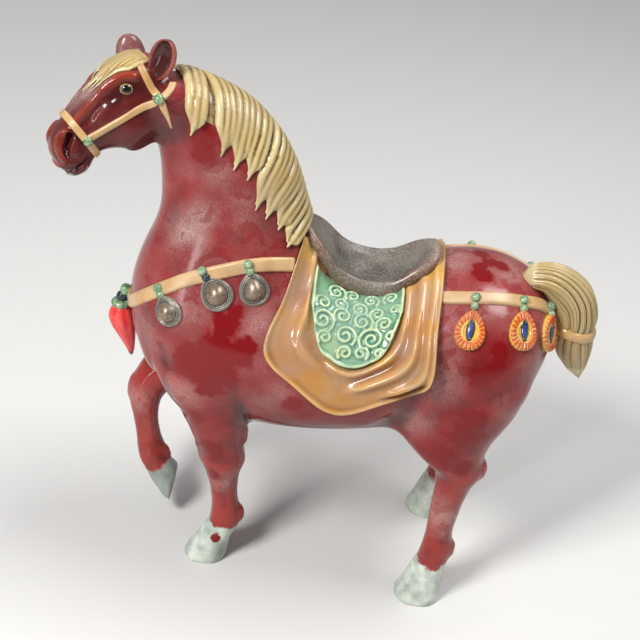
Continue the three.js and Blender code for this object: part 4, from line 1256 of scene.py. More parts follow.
def tassel_skin():
    """The long red drop of the chest tassel, ribbed like a pepper and bent towards its tip."""
    rows = table_at(TASSEL, np.linspace(0, len(TASSEL) - 1, 50), range(len(TASSEL)))
    z, x, size = [column[:, None] for column in rows.T]
    angle = turns(60)[None, :]
    rib = 1 - 0.09 * np.abs(np.cos(angle * 3)) ** 3 * np.linspace(1, 0.3, 50)[:, None]
    rings = np.stack([-x + size * rib * np.cos(angle), size * rib * np.sin(angle), z + 0 * angle], -1)
    return loft(rings, (-35.6, 0, 48.6), (-33.7, 0, 36.8))


TASSEL = [(47.8, 36, 1.3), (46, 36, 2.3), (43.8, 35.5, 2.3), (41.2, 34.7, 1.6), (38.6, 34, 0.8), (37.3, 33.8, 0.4)]


def eye_skin(skin, side):
    """The eyeball, a flat lens in its socket, with its share of the way from pupil to lid."""
    spot = head_place((EYE[0], EYE[1], -side * EYE[2]))
    point, out = skin.seen(head_place((EYE[0], EYE[1] - 2, 0)), spot)
    level = NOSEWARD + FACEWARD
    across = unit(level - out * (level @ out))
    up = np.cross(out, across)
    lens = np.linspace(0.02, 1, 24)[:, None]
    angle = turns(48)[None, :]
    rings = point + (EYE_LONG * lens * np.cos(angle))[..., None] * across
    rings = rings + (EYE_HIGH * lens * np.sin(angle))[..., None] * up
    rings = rings + (0.5 * (1 - lens**2) + 0.06 + 0 * angle)[..., None] * out
    share = np.concatenate([np.repeat(lens[:, 0], 48), np.ones(48), [0, 1]])
    back = rings[-1:] - out * 0.6
    return loft(np.concatenate([rings, back]), point + out * 0.56, point - out * 0.6), share


EYE = (4.1, -2.4, 4.6)
EYE_LONG, EYE_HIGH = 1.15, 0.95


# Glazes.


def paint(code):
    """An sRGB hex colour as linear red, green, blue and alpha."""
    parts = [int(code[k : k + 2], 16) / 255 for k in (1, 3, 5)]
    return (*[p / 12.92 if p <= 0.04045 else ((p + 0.055) / 1.055) ** 2.4 for p in parts], 1.0)


def per_mm(size):
    """Noise scale whose pattern repeats at about this size in millimetres."""
    return 1000 / size


def new_glaze(name, **plain):
    """A glaze with its shader's plain values; gives the material, its tree, the place and the shader."""
    glaze = bpy.data.materials.new(name)
    glaze.use_nodes = True
    tree = glaze.node_tree
    shader = tree.nodes["Principled BSDF"]
    for key, value in plain.items():
        shader.inputs[key.replace("_", " ").title().replace("Ior", "IOR")].default_value = value
    place = add(tree, "ShaderNodeTexCoord").outputs["Object"]
    return glaze, tree, place, shader


def fact(tree, name):
    """A value that the mesh carries at each corner."""
    return add(tree, "ShaderNodeAttribute", attribute_name=name).outputs["Fac"]


def blended(tree, share, colour, other):
    """Colour that turns to another by a share from 0 to 1."""
    other = paint(other) if isinstance(other, str) else other
    return add(tree, "ShaderNodeMix", {0: share, 6: colour, 7: other}, data_type="RGBA").outputs[2]


def scaled(tree, value, amount):
    return add(tree, "ShaderNodeMath", {0: value, 1: amount}, operation="MULTIPLY").outputs[0]


def dusted(tree, place, colour, dust, cover, low=0.42, high=0.62):
    """Colour under a patchy film of fine dust, and the film's thickness from 0 to 1."""
    drift = add(tree, "ShaderNodeTexNoise", {"Vector": place, "Scale": per_mm(26), "Detail": 5.0})
    # Real dust is finer than a pixel, so its grains are drawn about 0.8 mm wide.
    grain = add(tree, "ShaderNodeTexNoise", {"Vector": place, "Scale": per_mm(0.8), "Detail": 2.0})
    patch = {"Value": drift.outputs["Fac"], "From Min": low, "From Max": high}
    patchy = add(tree, "ShaderNodeMapRange", patch)
    speck = {"Value": grain.outputs["Fac"], "From Min": 0.35, "From Max": 0.7, "To Min": 0.45, "To Max": 1.0}
    specks = add(tree, "ShaderNodeMapRange", speck)
    both = add(tree, "ShaderNodeMath", {0: patchy.outputs[0], 1: specks.outputs[0]}, operation="MULTIPLY")
    film = add(tree, "ShaderNodeMath", {0: both.outputs[0], 1: cover}, operation="MULTIPLY", use_clamp=True)
    return blended(tree, film.outputs[0], colour, dust), film.outputs[0]


def pooled(tree, stops):
    """Glaze colour from the mesh's hollows: thin on ridges at 0, thick in grooves at 1."""
    depth = {"Value": fact(tree, "hollow"), "From Min": -1.0, "From Max": 1.0}
    share = add(tree, "ShaderNodeMapRange", depth)
    return add(tree, "ShaderNodeValToRGB", {"Fac": share.outputs[0]}, stops=stops).outputs["Color"]


def surface(tree, place, shader, colour, film, gloss, dull, ripple=0.12):
    """Joins colour, gloss under the film and the faint ripple of a fired glaze to the shader."""
    tree.links.new(colour, shader.inputs["Base Color"])
    rough = {"Value": film, "To Min": gloss, "To Max": dull}
    tree.links.new(add(tree, "ShaderNodeMapRange", rough).outputs[0], shader.inputs["Roughness"])
    wave = add(tree, "ShaderNodeTexNoise", {"Vector": place, "Scale": per_mm(7), "Detail": 3.0})
    height = {"Height": wave.outputs["Fac"], "Strength": ripple, "Distance": 0.0012}
    tree.links.new(add(tree, "ShaderNodeBump", height).outputs[0], shader.inputs["Normal"])


def tinted(tree, place, colour, other, size, low, high, amount=1.0):
    """Colour that drifts to another in soft clouds of a given size in millimetres."""
    cloud = add(tree, "ShaderNodeTexNoise", {"Vector": place, "Scale": per_mm(size), "Detail": 4.0})
    span = {"Value": cloud.outputs["Fac"], "From Min": low, "From Max": high, "To Max": amount}
    share = add(tree, "ShaderNodeMapRange", span)
    return blended(tree, share.outputs[0], colour, other)


def red_glaze():
    """Copper-red glaze over white clay: deep where it pools, orange where it runs thin, clear and very
    glossy where it was wiped, and elsewhere clouded by a pink-grey film. The film is drawn paler at grazing
    angles as a painted sheen, and on the neck's base it also paints a broad reflection. Shade is painted
    nearly black under the body, in the nostrils, mouth and eye sockets and in the ears' hollows. The hooves
    are pale grey-green."""
    glaze, tree, place, shader = new_glaze("copper_red_glaze", ior=1.5, specular_ior_level=0.36)
    stops = [(0.06, "#942c20"), (0.3, "#84191b"), (0.5, "#760f17"), (0.66, "#600b13"), (0.9, "#47080e")]
    colour = pooled(tree, stops)
    colour = tinted(tree, place, colour, "#962426", 30, 0.45, 0.7, 0.55)
    colour = tinted(tree, place, colour, "#560b12", 17, 0.52, 0.7, 0.55)
    colour = blended(tree, scaled(tree, fact(tree, "brown"), 0.75), colour, "#451512")
    colour = blended(tree, scaled(tree, fact(tree, "warm"), 0.7), colour, "#9c3216")
    # Painted shade, nearly black: under the body, in the nostrils, mouth and eye sockets and in the ears' hollows.
    colour = blended(tree, scaled(tree, fact(tree, "painted_shade"), 0.8), colour, "#2a0a0a")
    coarse = add(tree, "ShaderNodeTexNoise", {"Vector": place, "Scale": per_mm(13), "Detail": 2.0, "Distortion": 0.6})
    fine = add(tree, "ShaderNodeTexNoise", {"Vector": place, "Scale": per_mm(2.4), "Detail": 3.0})
    both = {0: coarse.outputs["Fac"], 1: scaled(tree, fine.outputs["Fac"], 0.35)}
    both = add(tree, "ShaderNodeMath", both, operation="ADD").outputs[0]
    wander = {"Value": both, "From Min": 0.4, "From Max": 0.95, "To Min": -0.26, "To Max": 0.26}
    ragged = add(tree, "ShaderNodeMapRange", wander).outputs[0]
    masks = {}
    for name in ("clean", "hoof"):
        pushed = add(tree, "ShaderNodeMath", {0: fact(tree, name), 1: ragged}, operation="ADD")
        sharp = {"Value": pushed.outputs[0], "From Min": 0.42, "From Max": 0.6}
        masks[name] = add(tree, "ShaderNodeMapRange", sharp).outputs[0]
    colour = blended(tree, masks["clean"], colour, "#780910")
    nearly = add(tree, "ShaderNodeMapRange", {"Value": fact(tree, "clean"), "From Min": 0.1, "From Max": 0.5})
    rubbed = add(tree, "ShaderNodeMath", {0: masks["clean"], 1: 0.62}, operation="MULTIPLY")
    rubbed = add(tree, "ShaderNodeMath", {0: nearly.outputs[0], 1: 0.35, 2: rubbed.outputs[0]}, operation="MULTIPLY_ADD")
    flecks = {"Value": coarse.outputs["Fac"], "From Min": 0.56, "From Max": 0.6, "To Min": 1.0, "To Max": 0.5}
    cover = {"Value": rubbed.outputs[0], "To Min": 1.0, "To Max": 0.0}
    cover = add(tree, "ShaderNodeMapRange", cover).outputs[0]
    cover = scaled(tree, cover, add(tree, "ShaderNodeMapRange", flecks).outputs[0])
    # Painted sheen: the film is drawn thicker, and so paler, where the surface turns away from the eye.
    away = add(tree, "ShaderNodeLayerWeight", {"Blend": 0.25}).outputs["Facing"]
    edge = add(tree, "ShaderNodeMath", {0: away, 1: 0.2, 2: fact(tree, "dust_and_reflection")}, operation="MULTIPLY_ADD").outputs[0]
    # The film is drawn thin where shade is painted and where the glaze pools, so those places stay dark red.
    deep = {0: fact(tree, "painted_shade"), 1: fact(tree, "hollow")}
    deep = add(tree, "ShaderNodeMath", deep, operation="MAXIMUM").outputs[0]
    bare = add(tree, "ShaderNodeMapRange", {"Value": deep, "To Min": 1.0, "To Max": 0.1}).outputs[0]
    film_and_sheen = scaled(tree, scaled(tree, cover, edge), bare)
    colour, film = dusted(tree, place, colour, "#b79d97", film_and_sheen, 0.25, 0.62)
    stone = add(tree, "ShaderNodeTexNoise", {"Vector": place, "Scale": per_mm(7), "Detail": 5.0})
    hoof_stops = [(0.3, "#9aa49a"), (0.48, "#b9c2b6"), (0.66, "#d2d8cb")]
    horn = add(tree, "ShaderNodeValToRGB", {"Fac": stone.outputs["Fac"]}, stops=hoof_stops).outputs["Color"]
    horn = blended(tree, scaled(tree, fact(tree, "shade"), 0.6), horn, "#59625f")
    colour = blended(tree, masks["hoof"], colour, horn)
    surface(tree, place, shader, colour, film, 0.12, 0.5)
    return glaze


def straw_glaze():
    """Cream glaze on the carved hair: pale on the locks, brown where it ran into the grooves."""
    glaze, tree, place, shader = new_glaze("straw_glaze", ior=1.5)
    stops = [(0.2, "#d3c699"), (0.41, "#c0ad7b"), (0.53, "#9c804c"), (0.64, "#644823"), (0.85, "#352412")]
    colour = tinted(tree, place, pooled(tree, stops), "#ad9260", 22, 0.43, 0.66, 0.8)
    colour, film = dusted(tree, place, colour, "#b3a48a", 0.35)
    surface(tree, place, shader, colour, film, 0.2, 0.5)
    return glaze


def honey_glaze():
    """Amber glaze on the cloth: straw-pale on the folds, honey on the flats, brown between the folds."""
    glaze, tree, place, shader = new_glaze("honey_glaze", ior=1.52)
    stops = [(0.12, "#cfa768"), (0.4, "#c1914d"), (0.52, "#ab7434"), (0.64, "#7b4a1d"), (0.85, "#3a200e")]
    colour = tinted(tree, place, pooled(tree, stops), "#b3741f", 24, 0.48, 0.72, 0.7)
    colour = tinted(tree, place, colour, "#a37f6c", 30, 0.47, 0.66, 0.75)
    colour, film = dusted(tree, place, colour, "#b09a86", 0.55)
    surface(tree, place, shader, colour, film, 0.11, 0.45)
    return glaze


def strap_glaze():
    """The same amber glaze run thin over the straps, beige and dulled by handling and dust."""
    glaze, tree, place, shader = new_glaze("thin_honey_glaze", ior=1.5)
    stops = [(0.2, "#d6b483"), (0.5, "#bf9258"), (0.75, "#85582c")]
    colour = tinted(tree, place, pooled(tree, stops), "#a97536", 12, 0.45, 0.68, 0.7)
    colour, film = dusted(tree, place, colour, "#bba68c", 0.75, 0.3, 0.6)
    surface(tree, place, shader, colour, film, 0.2, 0.55, 0.25)
    return glaze


def leaf_glaze():
    """Green glaze on the flap: milky on the scrolls and the rim, deep where it fills the ground."""
    glaze, tree, place, shader = new_glaze("leaf_glaze", ior=1.52)
    stops = [(0.2, "#ccd6ab"), (0.4, "#9fba90"), (0.52, "#79a37f"), (0.66, "#4a7e6a"), (0.85, "#245040")]
    colour = tinted(tree, place, pooled(tree, stops), "#5b9488", 26, 0.48, 0.68, 0.5)
    colour = tinted(tree, place, colour, "#a5ae78", 18, 0.52, 0.7, 0.5)
    colour, film = dusted(tree, place, colour, "#9cab92", 0.45)
    surface(tree, place, shader, colour, film, 0.12, 0.5)
    return glaze


def saddle_glaze():
    """Iron-brown glaze, nearly matt and grey with settled dust, wearing to red-brown at the rim."""
    glaze, tree, place, shader = new_glaze("iron_brown_glaze", ior=1.5)
    stops = [(0.25, "#80553c"), (0.4, "#55392b"), (0.54, "#332823"), (0.8, "#1c1716")]
    colour, film = dusted(tree, place, pooled(tree, stops), "#979086", 0.85, 0.25, 0.6)
    # The settled grit is drawn about 1 mm wide, coarser than it is.
    grit = add(tree, "ShaderNodeTexNoise", {"Vector": place, "Scale": per_mm(1), "Detail": 3.0})
    light = add(tree, "ShaderNodeMapRange", {"Value": grit.outputs["Fac"], "From Min": 0.52, "From Max": 0.64})
    dark = add(tree, "ShaderNodeMapRange", {"Value": grit.outputs["Fac"], "From Min": 0.46, "From Max": 0.36})
    colour = blended(tree, scaled(tree, light.outputs[0], 0.4), colour, "#a59a8b")
    colour = blended(tree, scaled(tree, dark.outputs[0], 0.4), colour, "#241d1a")
    surface(tree, place, shader, colour, film, 0.2, 0.65, 0.3)
    return glaze


def bell_glaze():
    """Lustre over a brown-black glaze: pewter rings with a bronze-pink boss."""
    glaze, tree, place, shader = new_glaze("pewter_lustre", ior=1.5, metallic=0.55)
    stops = [(0.25, "#bfbaae"), (0.42, "#9b968a"), (0.55, "#666158"), (0.8, "#292723")]
    bronze_stops = [(0.25, "#b8a28e"), (0.5, "#8f7b6a"), (0.7, "#4a3d34")]
    colour = blended(tree, fact(tree, "boss"), pooled(tree, stops), pooled(tree, bronze_stops))
    # Tarnish drawn in specks of about 1.2 mm, coarser than the real ones.
    specks = add(tree, "ShaderNodeTexNoise", {"Vector": place, "Scale": per_mm(1.2), "Detail": 3.0})
    worn = add(tree, "ShaderNodeMapRange", {"Value": specks.outputs["Fac"], "From Min": 0.5, "From Max": 0.62})
    colour = blended(tree, scaled(tree, worn.outputs[0], 0.5), colour, "#3b352e")
    colour, film = dusted(tree, place, colour, "#8d877c", 0.4)
    surface(tree, place, shader, colour, film, 0.34, 0.55, 0.3)
    return glaze


def bead_glaze():
    """Pale green glaze on the beads, thin and whitish on their tops."""
    glaze, tree, place, shader = new_glaze("pale_green_glaze", ior=1.5)
    cloud = add(tree, "ShaderNodeTexNoise", {"Vector": place, "Scale": per_mm(3), "Detail": 3.0})
    stops = [(0.3, "#43694a"), (0.5, "#72916a"), (0.68, "#a6b594")]
    colour = add(tree, "ShaderNodeValToRGB", {"Fac": cloud.outputs["Fac"]}, stops=stops).outputs["Color"]
    colour, film = dusted(tree, place, colour, "#aab39c", 0.3)
    surface(tree, place, shader, colour, film, 0.14, 0.4)
    return glaze


def pendant_enamel():
    """Brushed-on glazes on the pendants: orange-red petals, yellow lines and a cobalt stone."""
    glaze, tree, place, shader = new_glaze("pendant_enamel", ior=1.5)
    hand = add(tree, "ShaderNodeTexNoise", {"Vector": place, "Scale": per_mm(2.2), "Detail": 2.0})
    shaky = {"Value": hand.outputs["Fac"], "To Min": -0.16, "To Max": 0.16}
    wander = add(tree, "ShaderNodeMapRange", shaky).outputs[0]
    petal = add(tree, "ShaderNodeMath", {0: fact(tree, "petal"), 1: wander}, operation="ADD")
    petals = add(tree, "ShaderNodeMapRange", {"Value": petal.outputs[0], "From Min": 0.5, "From Max": 0.68})
    colour = blended(tree, petals.outputs[0], paint("#d8a63c"), "#c24a1e")
    for low, high, code in ((0.4, 0.48, "#0d1422"), (0.66, 0.8, "#17356f")):
        inside = add(tree, "ShaderNodeMapRange", {"Value": fact(tree, "stone"), "From Min": low, "From Max": high})
        colour = blended(tree, inside.outputs[0], colour, code)
    colour, film = dusted(tree, place, colour, "#b7a391", 0.25)
    surface(tree, place, shader, colour, film, 0.16, 0.4)
    return glaze


def pepper_glaze():
    """Bright iron-red glaze on the tassel's drop, dark at its very tip."""
    glaze, tree, place, shader = new_glaze("scarlet_glaze", ior=1.52)
    stops = [(0.25, "#e65a50"), (0.5, "#dc3439"), (0.75, "#94161d")]
    colour = tinted(tree, place, pooled(tree, stops), "#d23b3f", 12, 0.45, 0.7, 0.6)
    height = add(tree, "ShaderNodeSeparateXYZ", {"Vector": place}).outputs["Z"]
    tip = {"Value": height, "From Min": 38.4 * UNIT, "From Max": 37.4 * UNIT}
    colour = blended(tree, add(tree, "ShaderNodeMapRange", tip).outputs[0], colour, "#2c0d10")
    colour, film = dusted(tree, place, colour, "#c9a09a", 0.15)
    surface(tree, place, shader, colour, film, 0.12, 0.4)
    return glaze


def ink_glaze():
    """Blue-black glaze on the small dark beads."""
    glaze, tree, place, shader = new_glaze("ink_glaze", ior=1.5)
    cloud = add(tree, "ShaderNodeTexNoise", {"Vector": place, "Scale": per_mm(3), "Detail": 3.0})
    stops = [(0.35, "#121a1f"), (0.65, "#33474f")]
    colour = add(tree, "ShaderNodeValToRGB", {"Fac": cloud.outputs["Fac"]}, stops=stops).outputs["Color"]
    colour, film = dusted(tree, place, colour, "#8d938f", 0.25)
    surface(tree, place, shader, colour, film, 0.14, 0.4)
    return glaze


def eye_glaze():
    """Painted eye: black pupil, brown iris and an uneven cream line for the lid."""
    glaze, tree, place, shader = new_glaze("eye_glaze", ior=1.5)
    hand = add(tree, "ShaderNodeTexNoise", {"Vector": place, "Scale": per_mm(2), "Detail": 2.0})
    shaky = {"Value": hand.outputs["Fac"], "To Min": -0.2, "To Max": 0.2}
    wander = add(tree, "ShaderNodeMapRange", shaky).outputs[0]
    share = add(tree, "ShaderNodeMath", {0: fact(tree, "lid"), 1: wander}, operation="ADD")
    stops = [(0.4, "#0a0a07"), (0.52, "#2b2911"), (0.7, "#120d08"), (0.78, "#9c8452"), (0.88, "#a08a5c"), (0.95, "#3a1210")]
    colour = add(tree, "ShaderNodeValToRGB", {"Fac": share.outputs[0]}, stops=stops).outputs["Color"]
    colour, film = dusted(tree, place, colour, "#9b8f80", 0.15)
    surface(tree, place, shader, colour, film, 0.08, 0.3)
    return glaze


# Patches wiped clean on the red glaze: centre and radius.
CLEAN_PATCHES = [
    ((-14.5, -14.6, 58.3), 1.7), ((-15.3, -15.4, 56.6), 2.4), ((-16.2, -16.9, 51.8), 4.2), ((-12.6, -17, 52.4), 2.6),
    ((-22, -15.8, 50.1), 2.4), ((-23, -15.5, 47.2), 2.6), ((-19.3, -16.7, 47), 3), ((-15.1, -17.4, 47.3), 3),
    ((-11.4, -16.8, 53.4), 1.8), ((-17.5, -17, 44.3), 2.6), ((-24.1, -7.3, 88.7), 1.6), ((-23.3, -7.3, 87.1), 1.8),
    ((-22.4, -7.4, 83.9), 2), ((28.5, 0.8, 66), 1.9), ((30, 0, 65.9), 1.7), ((26.7, -3.5, 65.9), 1.9),
    ((26.4, -1.2, 66.1), 1.5), ((26.8, 3.5, 65.8), 1.5), ((-2.9, -17.7, 42.9), 2), ((-0.8, -17.1, 40.8), 1.9),
    ((30.8, -14.6, 57.7), 1.6), ((30.7, -15.7, 55.1), 2), ((28.3, -16.7, 52.9), 1.8), ((27.4, -17.4, 40.9), 3.4),
    ((28.8, -17.4, 44), 2.6), ((24.5, -17.2, 36.8), 2.6), ((21.6, -16.3, 35.1), 2.6), ((23.8, -16.8, 33.8), 2.4),
    ((16.4, -13.8, 37.7), 1.6), ((28.6, -16.5, 33.4), 1.8), ((-16.8, -13.9, 28.6), 2.2), ((-15.5, -13.7, 27.1), 1.6),
    ((-15.7, -12.2, 21.2), 1.6), ((-19.9, -15.7, 36.4), 1.5), ((-14.2, -12.4, 5.9), 0.95),
    ((-16, 16, 52), 4), ((-21, 15.6, 47), 2.6), ((26, 17, 48), 4.2), ((20, 15.5, 38), 3), ((29, 16.4, 54), 2),
]
# Places where the film is thick or thin, some also painting a pale reflection: centre, radius and how much is added to
# it.
DUST_AND_REFLECTION_PLACES = [
    (head_place((3.5, -7, 0)), 12, -0.22),
    (head_place((6, 1.2, 0)), 3.4, 0.65),
    (head_place((10.5, 1, 0)), 3.6, 0.8),
    (head_place((17.6, -4, 0)), 6.5, -0.2),
    # Partly dust and partly a painted reflection: these two lay a pale film where a broad reflection lies on the
    # neck's base.
    ((-22.5, -8.3, 72), 4.5, 0.5),
    ((-26, -7, 69), 4, 0.42),
    ((-19.5, -7.5, 80.5), 3, 0.4),
    ((-25.6, -6.5, 80.1), 2.2, 0.25),
    ((-16.3, -8.5, 75), 4, 0.3),
    ((-23.3, -7.3, 87), 3, -0.25),
    ((-29.3, -3.2, 70), 5, -0.25),
    ((-21.1, -15.1, 55.6), 4, 0.25),
    ((-27, -13, 50), 5.5, 0.25),
    ((-9.8, -15.4, 56), 4, 0.3),
    ((-10, -17.3, 50.5), 3.4, 0.35),
    ((-6.3, -17.8, 44), 4, 0.4),
    ((-21.6, -16.3, 41.2), 4.6, 0.42),
    ((23, 0.5, 65.8), 5, 0.25),
    ((32, -0.4, 65.4), 5, 0.35),
    ((21.5, -15, 56), 5, 0.2),
    ((35.7, -13.4, 54.4), 4, 0.2),
    ((18.5, -16.2, 42.5), 4.6, 0.5),
    ((22.5, -17, 50), 5, 0.35),
    ((33, -14.5, 47), 4, 0.3),
    ((30.5, -15, 56), 6, -0.3),
    ((28, -17, 45), 8, -0.3),
    ((24, -16.5, 34), 5, -0.3),
    ((28.5, -15.1, 19), 4.6, 0.5),
    ((25.4, -14.7, 22.6), 4, 0.4),
    ((27.7, -15.6, 13.4), 3, -0.3),
    ((-19, -15.5, 35.5), 5, -0.3),
    ((-15.8, -13.5, 27.5), 5, -0.3),
    ((-13.9, -12.6, 20), 3.4, 0.5),
    ((-12.8, -11, 11), 4, -0.25),
    ((-32.6, 2.6, 25), 3.4, 0.35),
]
# Lines of the head's frame where the red runs thin and orange, and lines along the nostrils, mouth and eye sockets
# where shade is painted nearly black.
WARM_LINES = [
    (BROW, 1.5), (FACE_EDGE, 1.1), (NOSTRIL_RIM, 1.1), (((19.4, -2.4, 0), (20.4, -3.8, 0.6), (20.6, -5, 1.4)), 1.4),
]
PAINTED_SHADE_LINES = [
    (NOSTRIL, 1.2), (MOUTH, 0.7), (((2.6, -3.4, 4.8), (5.4, -2.2, 4.5), (6.8, -2.2, 4.2)), 2.3),
    (((15.2, -2, 3), (15.2, -4.4, 3.4)), 0.9),
]
HOOF_TOPS = (8.3, 8.9)
PASTERN_SPOT = (-14.2, -12.4, 5.9)


def on_cheeks(verts, lines):
    """Greatest closeness to any of the lines given in the head's frame, on both cheeks."""
    most = np.zeros(len(verts))
    for line, radius in lines:
        for side in (NEAR, FAR):
            most = np.maximum(most, closeness(verts, cheek(line, side), radius))
    return most


def body_facts(verts, faces):
    """What the red glaze reads at each corner of the body."""
    normals = normals_of(verts, faces)
    clean = np.zeros(len(verts))
    for centre, radius in CLEAN_PATCHES:
        away = np.linalg.norm(verts - np.asarray(centre), axis=1) / radius
        clean = np.maximum(clean, np.clip(1 - 0.5 * away, 0, 1))
    dust_and_reflection = 0.16 + 0.2 * np.maximum(normals[:, 2], -0.5) - 0.08 * smooth((40 - verts[:, 2]) / 10)
    for centre, radius, change in DUST_AND_REFLECTION_PLACES:
        away = np.linalg.norm(verts - np.asarray(centre), axis=1) / radius
        dust_and_reflection += change * smooth(1.3 - away)
    x, _, z = verts.T
    top = np.where(x < 0, *HOOF_TOPS)
    standing = np.clip(0.5 + (top - z) * 0.3, 0, 1)
    coronet, sole = array(-27.6, 1.9, 10.4), array(-24.4, 1.6, 6.6)
    past = (verts - coronet) @ unit(sole - coronet)
    near = np.linalg.norm(verts - (coronet + sole) / 2, axis=1) < 7
    raised = np.where(near, np.clip(0.55 + past * 0.3, 0, 1), 0)
    hoof = np.where(z < 15, np.maximum(standing * (z < 10), raised), 0)
    hoof -= 2 * closeness(verts, [PASTERN_SPOT], 1.5)
    along, out, _ = in_head(verts).T
    return {
        "clean": clean,
        "dust_and_reflection": np.clip(dust_and_reflection, 0.04, 1),
        "hoof": np.clip(hoof, 0, 1),
        "shade": np.where(near, 1.0, closeness(verts, [(-13.4, -12, 4), (-12.6, -12, 2)], 2.2)),
        "brown": smooth((along + 2.5) / 3) * smooth((out + 15.5) / 2) * (z > 70),
        "warm": on_cheeks(verts, WARM_LINES),
        # Painted shade: on faces turned down and along the nostrils, mouth and eye sockets.
        "painted_shade": np.maximum(on_cheeks(verts, PAINTED_SHADE_LINES), 0.6 * smooth(-normals[:, 2] * 1.3 - 0.1) * (z > 10)),
    }


def build():
    strands, straps = strand_group(), strap_group()
    beads, ornaments = bead_group(), seat_group()
    red, straw, honey, leaf = red_glaze(), straw_glaze(), honey_glaze(), leaf_glaze()
    iron, pewter, green, ink = saddle_glaze(), bell_glaze(), bead_glaze(), ink_glaze()
    enamel, scarlet, eye, thin = pendant_enamel(), pepper_glaze(), eye_glaze(), strap_glaze()

    body = body_skin()
    skin = Skin(body)
    horse = piece("horse_body", body, red, hollow=(14, 0.14), facts=body_facts(*body))
    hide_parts("horse")
    for number, (root, tip, facing) in enumerate(EARS):
        ear, rim, cup = ear_skin(root, tip, facing)
        count = len(ear[0])
        # The ear's hollow side gets painted shade.
        plain = {"dust_and_reflection": np.full(count, 0.35), "brown": np.full(count, 0.8), "warm": rim, "painted_shade": cup}
        piece(("near_ear", "far_ear")[number], ear, red, hollow=(6, 0.12), facts=plain)
    for side, name in ((NEAR, "near_eye"), (FAR, "far_eye")):
        lens, share = eye_skin(skin, side)
        piece(name, lens, eye, facts={"lid": share})

    voxel = 0.18
    piece("mane", even(mane_skin(skin, strands, straw), voxel, 1), straw, hollow=(8, 0.1))
    piece("forelock", even(forelock_skin(skin, strands, straw), 0.15, 1), straw, hollow=(6, 0.08))
    piece("tail", tail_skin(), straw, hollow=(9, 0.17))
    piece("tail_band", tail_band_skin(), honey, hollow=(5, 0.1))

    places = {"Width": STRAP_WIDTH, "Thickness": 1.3, "Edge": 0.55}
    for name, route, drop, anchor in (
        ("chest_strap", CHEST_STRAP, CHEST_DROP, chest_anchor),
        ("crupper", CRUPPER, CRUPPER_DROP, rump_anchor),
    ):
        line = laid(skin, both_ways(route, drop), anchor, 150, STRAP_RISE - 0.6)
        piece(name, grown(name, straps, *lines_mesh([line]), places, thin), thin, hollow=(2, 0.1))
    lines = [noseband_line(skin)]
    for side in (NEAR, FAR):
        for route, taper in ((CROWN_TO_NOSE, 0), (BROW_TO_THROAT, 0.7)):
            lines.append(laid(skin, cheek(route, side), None, 60, taper=taper))
    narrow = {"Width": HALTER_WIDTH, "Thickness": 0.85, "Edge": 0.3}
    piece("halter", grown("halter", straps, *lines_mesh(lines), narrow, thin), thin, hollow=(2, 0.1))

    piece("saddle", saddle_skin(), iron, hollow=(12, 0.16))
    for side, near in ((NEAR, "near"), (FAR, "far")):
        piece(near + "_cloth", cloth_skin(skin, side), honey, hollow=(12, 0.22))
        plate, scrolls = flap_skins(skin, side, strands, leaf)
        voxel = 0.17
        piece(near + "_flap", even(joined([plate, scrolls]), voxel, 2), leaf, hollow=(8, 0.1))

    hang_ornaments(skin, beads, ornaments, pewter, enamel, green, ink)
    piece("tassel", tassel_skin(), scarlet, hollow=(6, 0.1))


def even(skin, voxel, rounds):
    """Laid-on clay pressed into one surface and smoothed a little."""
    verts, faces = melted(skin, voxel)
    return relaxed(verts, edges_of(faces), rounds), faces


def hang_ornaments(skin, beads, ornaments, pewter, enamel, green, ink):
    """Bells, pendants, their beads, the halter's beads and the tassel's beads."""
    green_beads, ink_beads = [((-35.3, 0, 51), 1.1)], [((-36, 0, 49.5), 1)]
    for side in (NEAR, FAR):
        for kind, places, anchor, drop in (
            ("bell", BELLS, chest_anchor, 0),
            ("pendant", PENDANTS, rump_anchor, CRUPPER_DROP),
        ):
            found = seats(skin, places, anchor, side, drop)
            make_ornaments(kind, side, found, ornaments, pewter if kind == "bell" else enamel)
            for number, (point, out, _, _, knot) in enumerate(found):
                lower = knot + (point + 0.7 * out - knot) * 0.28
                green_beads.append((knot, BEAD))
                dark = kind == "bell" and number == 1
                (ink_beads if dark else green_beads).append((lower, BEAD * 0.88))
        for spot, size in ((UPPER_BEAD, 0.95), (LOWER_BEAD, 0.8)):
            point, out = skin.nearest(cheek([spot], side)[0])
            green_beads.append((point + 0.6 * out, size))
    for name, places, glaze in (("green_beads", green_beads, green), ("dark_beads", ink_beads, ink)):
        sizes = {"size": [size for _, size in places]}
        spots = [place for place, _ in places]
        values = {"Segments": 28, "Rings": 18}
        piece(name, grown(name, beads, spots, [], sizes, values, glaze), glaze)
    ring = loft(ring_rows((-36.1, 0, 48.1), 1.15, 0.62))
    piece("tassel_ring", ring, green)


def ring_rows(centre, radius, roll):
    """Rings of a fat collar round the tassel."""
    around, across = turns(40), np.linspace(-1, 1, 15) * math.pi * 0.5
    out = radius + roll * np.cos(across)[:, None]
    lift = roll * np.sin(across)[:, None]
    return np.asarray(centre) + np.stack([out * np.cos(around), out * np.sin(around), lift + 0 * around], -1)


